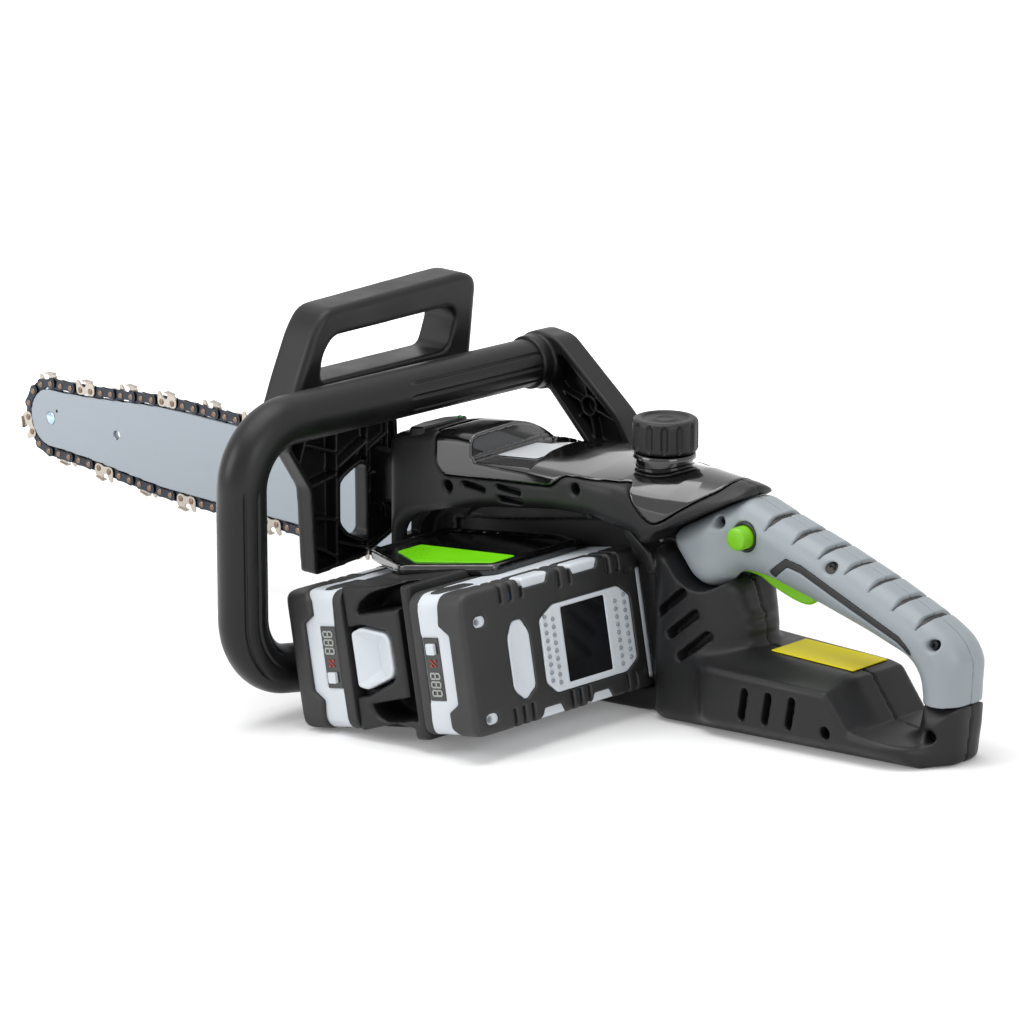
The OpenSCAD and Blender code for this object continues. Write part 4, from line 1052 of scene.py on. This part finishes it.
BAND_OUT = ((0, 5, 13, 17.5, 54.5, 59.8, 69, 76), (8, 12.2, 12.4, 5.0, 4.8, 12.0, 10.8, 11))
BAND_IN = ((0, 4, 17.6, 53.3, 70, 76), (28.5, 28, 27, 27, 27.2, 26))
TOP_TABS, LOW_TABS = ((105.7, 83.7), (67.7, 45.7)), ((101.7, 83.7), (63.7, 46.7))
TOP_TEETH = (121.1, 113.4, 105.5, 76.5, 68.5, 38.6, 31.2)
LOW_TEETH = (121.5, 114.7, 108, 78, 71.7, 65, 35, 28.7)
PACK_SCREWS = ((138.2, 59.7), (138.2, 7.6))
OCTAGON = soft([(94.7, 52), (83.5, 58), (33.5, 58), (25.5, 51.3), (25.5, 16.8), (34.5, 11), (88, 11),
                (95.2, 17.8)], 2)
WINDOW = soft([(44.7, 14.6), (78.2, 14.6), (78.2, 55.3), (44.7, 55.3)], 1)
CAPSULE = soft([(107.7, 55.3), (103.7, 47), (103.7, 18), (111.7, 12), (119.7, 19.3), (119.7, 47.3),
                (114.7, 55.3)], 2.5)
PACK_SLOT = soft([(25, 116), (27, 132), (23.5, 144), (15.5, 143), (12.5, 134), (14.5, 116)], 3)


def pack_block(x, y, z, end=PACK_Y1):
    """Pack before its parts: a block with a round upright edge at its outer end and eased faces."""
    plan = soft([(PACK_X0, PACK_Y0), (PACK_X0, end), (90, end), (90, PACK_Y0)], 4)
    side = soft([(PACK_Y0, PACK_Z0), (end - 5, PACK_Z0), (end, PACK_Z0 + 5), (end, PACK_Z1 - 6),
                 (end - 6, PACK_Z1), (PACK_Y0, PACK_Z1)], 5)
    shape = both(both(outline(plan, x, y), span(z, PACK_Z0, PACK_Z1), 4), outline(side, y, z) + 0 * x, 2)
    return both(shape, x - PACK_X1, 0.8)


def rib_slots(y, z, half):
    """Short upright slots, three to a group, along the top and bottom edges of the big face."""
    best = 1e3
    for teeth, level, sign in ((TOP_TEETH, PACK_Z1 - 1, 1), (LOW_TEETH, PACK_Z0 + 1, -1)):
        for y0 in teeth:
            best = np.minimum(best, np.maximum(np.abs(y - y0) - half, (level - z) * sign - 10))
    return best


def pack_shells(x, y, z):
    """Black shells: an outer one whose edge zigzags round the pale band, with ribs cut in groups of three,
    tab notches, screw holes and the label's seat, and an inner one against the dock."""
    block = pack_block(x, y, z)
    proud = pack_block(x, y, z, PACK_Y1 + 2)
    near_end = ease(y, 128, 134)
    first = np.interp(z, *BAND_OUT) * near_end + 9 * (1 - near_end)
    second = np.interp(z, *BAND_IN) * near_end + 27 * (1 - near_end)
    outer = both(proud, (x - first) * 0.9, 1.0)
    low = np.minimum
    cuts = 1e3
    for tabs, level, sign in ((TOP_TABS, PACK_Z1 - 1, 1), (LOW_TABS, PACK_Z0 + 1, -1)):
        for a, b in tabs:
            drop = (z - level) * sign
            tab = np.maximum(span(y, b - 0.5 * drop, a + 0.5 * drop), -drop - 5.2)
            cuts = low(cuts, np.maximum(tab, x - 3.5))
    for hy, hz in PACK_SCREWS + ((24, 65), (24, 9)):
        r, floor = (2.9, 6) if hy > 50 else (1.6, -6.2)
        cuts = low(cuts, np.maximum(line(y, z, (hy - 1.6, hz), (hy + 1.6, hz)) - r, x - floor))
    outer = less(outer, cuts, 0.7)
    outer = less(outer, np.maximum(rib_slots(y, z, 1.15), -(block + 2.8)), 0.3)
    seat = low(outline(OCTAGON, y, z), outline(CAPSULE, y, z)) - 0.3
    outer = less(outer, np.maximum(seat, x + 5.5), 0.6)
    outer = less(outer, np.maximum(both(span(y, 14.2, 18.2), span(z, 4, 65), 0.8), x + 5.5), 0.3)
    inner = both(block, (second - x) * 0.9, 1.0)
    shells = low(outer, inner)
    inset = both(outline(PACK_SLOT, x, y) + 0.5, span(np.abs(z - 37.8), 34, 38.4), 0.3)
    shells = low(shells, inset)
    shells = less(shells, np.maximum(span(x, 15.3, 27.2), span(z, 18.8, 53.2)) + 100 * (y < 147.5), 0.4)
    return less(shells, both(both(span(z, 30, 44), PACK_X1 - 1.4 - x), span(y, 20, 128), 0.3), 0.3)


def pack_band(x, y, z):
    """Pale middle part that shows between the shells, in the tab notches and down the screw holes."""
    block = pack_block(x, y, z)
    shape = both(block + 0.45, span(x, -5.7, 32), 0.6)
    shape = less(shape, np.maximum(np.maximum(rib_slots(y, z, 2.2), -(block + 4)), x - 8.3))
    shape = np.minimum(shape, both(both(span(y, 14.5, 17.9), span(z, 4.4, 64.6), 0.8),
                                   span(x, PACK_X0 + 0.15, 0)))
    for hy, hz in PACK_SCREWS:
        shape = less(shape, np.maximum(np.hypot(y - hy - 1.0, z - hz) - 1.9, x - 6), 0.3)
    shape = less(shape, np.maximum(span(x, 15.3, 27.2), span(z, 18.8, 53.2)) + 100 * (y < 147.5), 0.4)
    return less(shape, np.maximum(outline(PACK_SLOT, x, y), 37.4 - np.abs(z - 37.8)), 0.4)


def pack_plate(x, y, z):
    """Pale plates on the big face: an eight-sided frame round a bare window, and a dished capsule."""
    x = x - PACK_X0
    ring = both(np.maximum(outline(OCTAGON, y, z), -outline(WINDOW, y, z)), span(x, 0.1, 1.35), 0.3)
    dish = 0.6 * np.clip(1 - (np.abs(y - 111.7) / 7) ** 2, 0, 1)
    capsule = both(outline(CAPSULE, y, z), span(x - dish, 0.2, 1.4), 0.3)
    return np.minimum(ring, capsule)


def bumps():
    """Grip bumps: two staggered columns of small domes at each end of the frame."""
    dome = [(0.01, 1.15), (0.5, 1.1), (0.95, 0.8), (1.25, 0.3), (1.3, -0.3), (0.01, -0.3)]
    out = []
    for y0 in (30.2, 37.2, 85.2, 91):
        for k in range(9):
            z = 16 + 4.3 * k + (2.2 if y0 in (30.2, 91) else 0)
            out.append(lathe(dome[::-1], 12, (PACK_X0 + 0.1, y0, z), (-1, 0, 0)))
    return out


# Middles of a digit's seven bars, in half widths across it and half heights along it
SEGMENTS = ((0, 1), (1, 0.5), (1, -0.5), (0, -1), (-1, -0.5), (-1, 0.5), (0, 0))


def digit(centre_z):
    """One display digit lying on its side: a short bar for each of its segments, reading down the pack."""
    out = []
    for across, along_ in SEGMENTS:
        w, h = (1.2, 0.42) if across == 0 else (0.42, 1.5)
        z, x = centre_z - across * 1.45, 21.0 - along_ * 3.4
        out.append(prism([(x - h, z - w), (x + h, z - w), (x + h, z + w), (x - h, z + w)], 149.0, 149.45))
    return out


def display_marks():
    """Per cent sign in red: a slanting bar and two dots."""
    bar = np.array([(18.7, 37.6), (19.3, 37.2), (23.5, 40.8), (22.9, 41.2)])
    dots = [[(x - 0.7, z - 0.7), (x + 0.7, z - 0.7), (x + 0.7, z + 0.7), (x - 0.7, z + 0.7)] for x, z in
            ((19.6, 40.6), (22.6, 37.8))]
    return [prism(p, 149.0, 149.45) for p in [bar] + dots]


def pack(side, to):
    """One pack's pieces, drawn in the pack's own frame and carried to its place."""
    case, check = side + "_pack", side + "_check"
    lo, hi = (-8.5, 11, -3), (36, 154, 78.5)
    build(case + "_shells", [skin(pack_shells, lo, hi, 0.95, to)], RUBBER, case, case + "_case")
    build(case + "_band", [skin(pack_band, lo, hi, 1.1, to)], PALE, case, case + "_frame")
    build(case + "_plates", [skin(pack_plate, (-7.8, 23, 9), (-4.6, 122, 60), 0.6, to)], PALE, case,
          case + "_label")
    # The bumps take the darker grey: painted shade on them
    build(case + "_dots", [to_frame(b, to) for b in bumps()], DOT_SHADE, case, case + "_label")
    window = prism(WINDOW, PACK_X0 + 0.5, PACK_X0 + 1.3, 0.0, "x")
    build(case + "_window", [to_frame(window, to)], SCREEN, case, case + "_label", crisp=40)
    screen = prism(soft([(15.5, 19), (27, 19), (27, 53), (15.5, 53)], 0.8), 147.6, 149.0, 0.2)
    build(case + "_screen", [to_frame(screen, to)], SCREEN, case, case + "_display", crisp=40)
    digits = [s for k in range(3) for s in digit(32.4 - 4.6 * k)]
    build(case + "_digits", [to_frame(s, to) for s in digits], DIGIT, case, case + "_display", crisp=40)
    build(case + "_percent", [to_frame(s, to) for s in display_marks()], RED, case, case + "_display",
          crisp=40)
    key = prism(soft([(18, 44), (24, 44), (24, 50), (18, 50)], 0.8), 145.8, 150.9, 0.3)
    build(case + "_key", [to_frame(key, to)], PALE, check, case + "_button", crisp=40)


pack("rear", dock)
pack("front", front_dock)

# CAD nodes that stay in view get finishes of their own

paint(ZINC, "trigger_pin", "bar_studs", "bar_nuts", "tension_screw", "tension_pin", "nose_sprocket",
      "drive_sprocket", "drive_shaft", "drive_gear", "motor_pinion", "shaft_bearing", "oil_pump",
      "brake_band")
paint(DARK, "bumper_spike", "motor_can", "motor_rotor")
paint(NYLON, "trigger_switch")
paint(BRASS, "dock_terminals")
paint(RUBBER, "cap_seal")
paint(TANK, "oil_tank")
paint(BOARD, "control_board")
paint(CELL, "front_pack_cells", "rear_pack_cells")

# Camera, floor and light

FOCAL_PX, FRAME_PX, SENSOR = 5000.0, 1024.0, 36.0
CAMERA_AT = (-1770.9, 1919.8, 809.5)
CAMERA_TURN, CAMERA_DIP = np.radians(44.5), np.radians(15.3)


def camera():
    """Camera where the photograph was taken from: behind the saw, to its left and a little above."""
    look = np.array([np.sin(CAMERA_TURN) * np.cos(CAMERA_DIP), -np.cos(CAMERA_TURN) * np.cos(CAMERA_DIP),
                     -np.sin(CAMERA_DIP)])
    right = np.array([-np.cos(CAMERA_TURN), -np.sin(CAMERA_TURN), 0.0])
    up = np.cross(right, look)
    right, up, look = (turned(v, -LEAN) for v in (right, up, look))
    data = bpy.data.cameras.new("camera")
    data.lens, data.sensor_width = FOCAL_PX / FRAME_PX * SENSOR, SENSOR
    data.clip_end = 100
    ob = bpy.data.objects.new("camera", data)
    bpy.context.scene.collection.objects.link(ob)
    m = np.eye(4)
    m[:3, 0], m[:3, 1], m[:3, 2], m[:3, 3] = right, up, -look, saw(CAMERA_AT)
    ob.matrix_world = Matrix(m.tolist())
    bpy.context.scene.camera = ob


def lamp(name, at, aim, size, power):
    """Softbox: a square area lamp at a point, turned to face another."""
    data = bpy.data.lights.new(name, "AREA")
    data.shape, data.size, data.energy = "SQUARE", size, power
    ob = bpy.data.objects.new(name, data)
    bpy.context.scene.collection.objects.link(ob)
    away = np.array(at, float) - aim
    away /= np.linalg.norm(away)
    side = np.cross((0.0, 0.0, 1.0) if abs(away[2]) < 0.95 else (0.0, 1.0, 0.0), away)
    side /= np.linalg.norm(side)
    m = np.eye(4)
    m[:3, 0], m[:3, 1], m[:3, 2], m[:3, 3] = side, np.cross(away, side), away, at
    ob.matrix_world = Matrix(m.tolist())


def seen_directly(tree):
    """1 for rays from the camera, from a mirror or through glass, and 0 for diffuse light."""
    path = add(tree, "ShaderNodeLightPath").outputs
    seen = path["Is Camera Ray"]
    for ray in ("Is Glossy Ray", "Is Transmission Ray"):
        seen = add(tree, "ShaderNodeMath", {0: seen, 1: path[ray]}, operation="MAXIMUM").outputs[0]
    return seen


def studio():
    """White floor that keeps the shadow, white surroundings, and three softboxes."""
    m, tree, bsdf = new_finish("paper_white_matt")
    bsdf.inputs["Base Color"].default_value = linear("#f4f4f4")
    bsdf.inputs["Roughness"].default_value = 0.9
    bsdf.inputs["Specular IOR Level"].default_value = 0.0
    seen = seen_directly(tree)
    place = add(tree, "ShaderNodeTexCoord").outputs["Object"]
    reach = add(tree, "ShaderNodeVectorMath", {0: place, 1: (0.25, 0.05, 0.0)}, operation="DISTANCE")
    far = add(tree, "ShaderNodeMapRange", {"Value": reach.outputs["Value"], "From Min": 0.35,
                                           "From Max": 1.1, "To Min": 0.14, "To Max": 1.0},
              interpolation_type="SMOOTHSTEP")
    lift = add(tree, "ShaderNodeMath", {0: seen, 1: far.outputs[0]}, operation="MULTIPLY")
    bsdf.inputs["Emission Color"].default_value = (1, 1, 1, 1)
    tree.links.new(lift.outputs[0], bsdf.inputs["Emission Strength"])
    half = 15.0
    me = bpy.data.meshes.new("floor")
    me.from_pydata([(-half, -half, 0), (half, -half, 0), (half, half, 0), (-half, half, 0)], [],
                   [(0, 1, 2, 3)])
    me.materials.append(m)
    floor = bpy.data.objects.new("floor", me)
    bpy.context.scene.collection.objects.link(floor)
    world = bpy.data.worlds.new("studio")
    bpy.context.scene.world = world
    world.use_nodes = True
    tree = world.node_tree
    tree.nodes.clear()
    seen = seen_directly(tree)
    level = add(tree, "ShaderNodeMapRange", {"Value": seen, "To Min": 0.5, "To Max": 1.0})
    sky = add(tree, "ShaderNodeBackground", {"Color": (1, 1, 1, 1), "Strength": level.outputs[0]})
    tree.links.new(sky.outputs[0], add(tree, "ShaderNodeOutputWorld").inputs[0])
    centre = (0.3, 0.02, 0.08)
    lamp("softbox_top", (0.35, 0.25, 1.9), centre, 1.6, 26)
    lamp("softbox_left", (1.3, 1.9, 1.1), centre, 1.2, 16)
    lamp("softbox_rear", (-1.6, 0.5, 0.9), centre, 0.9, 8)


camera()
studio()
bpy.context.scene.view_settings.view_transform = "Standard"
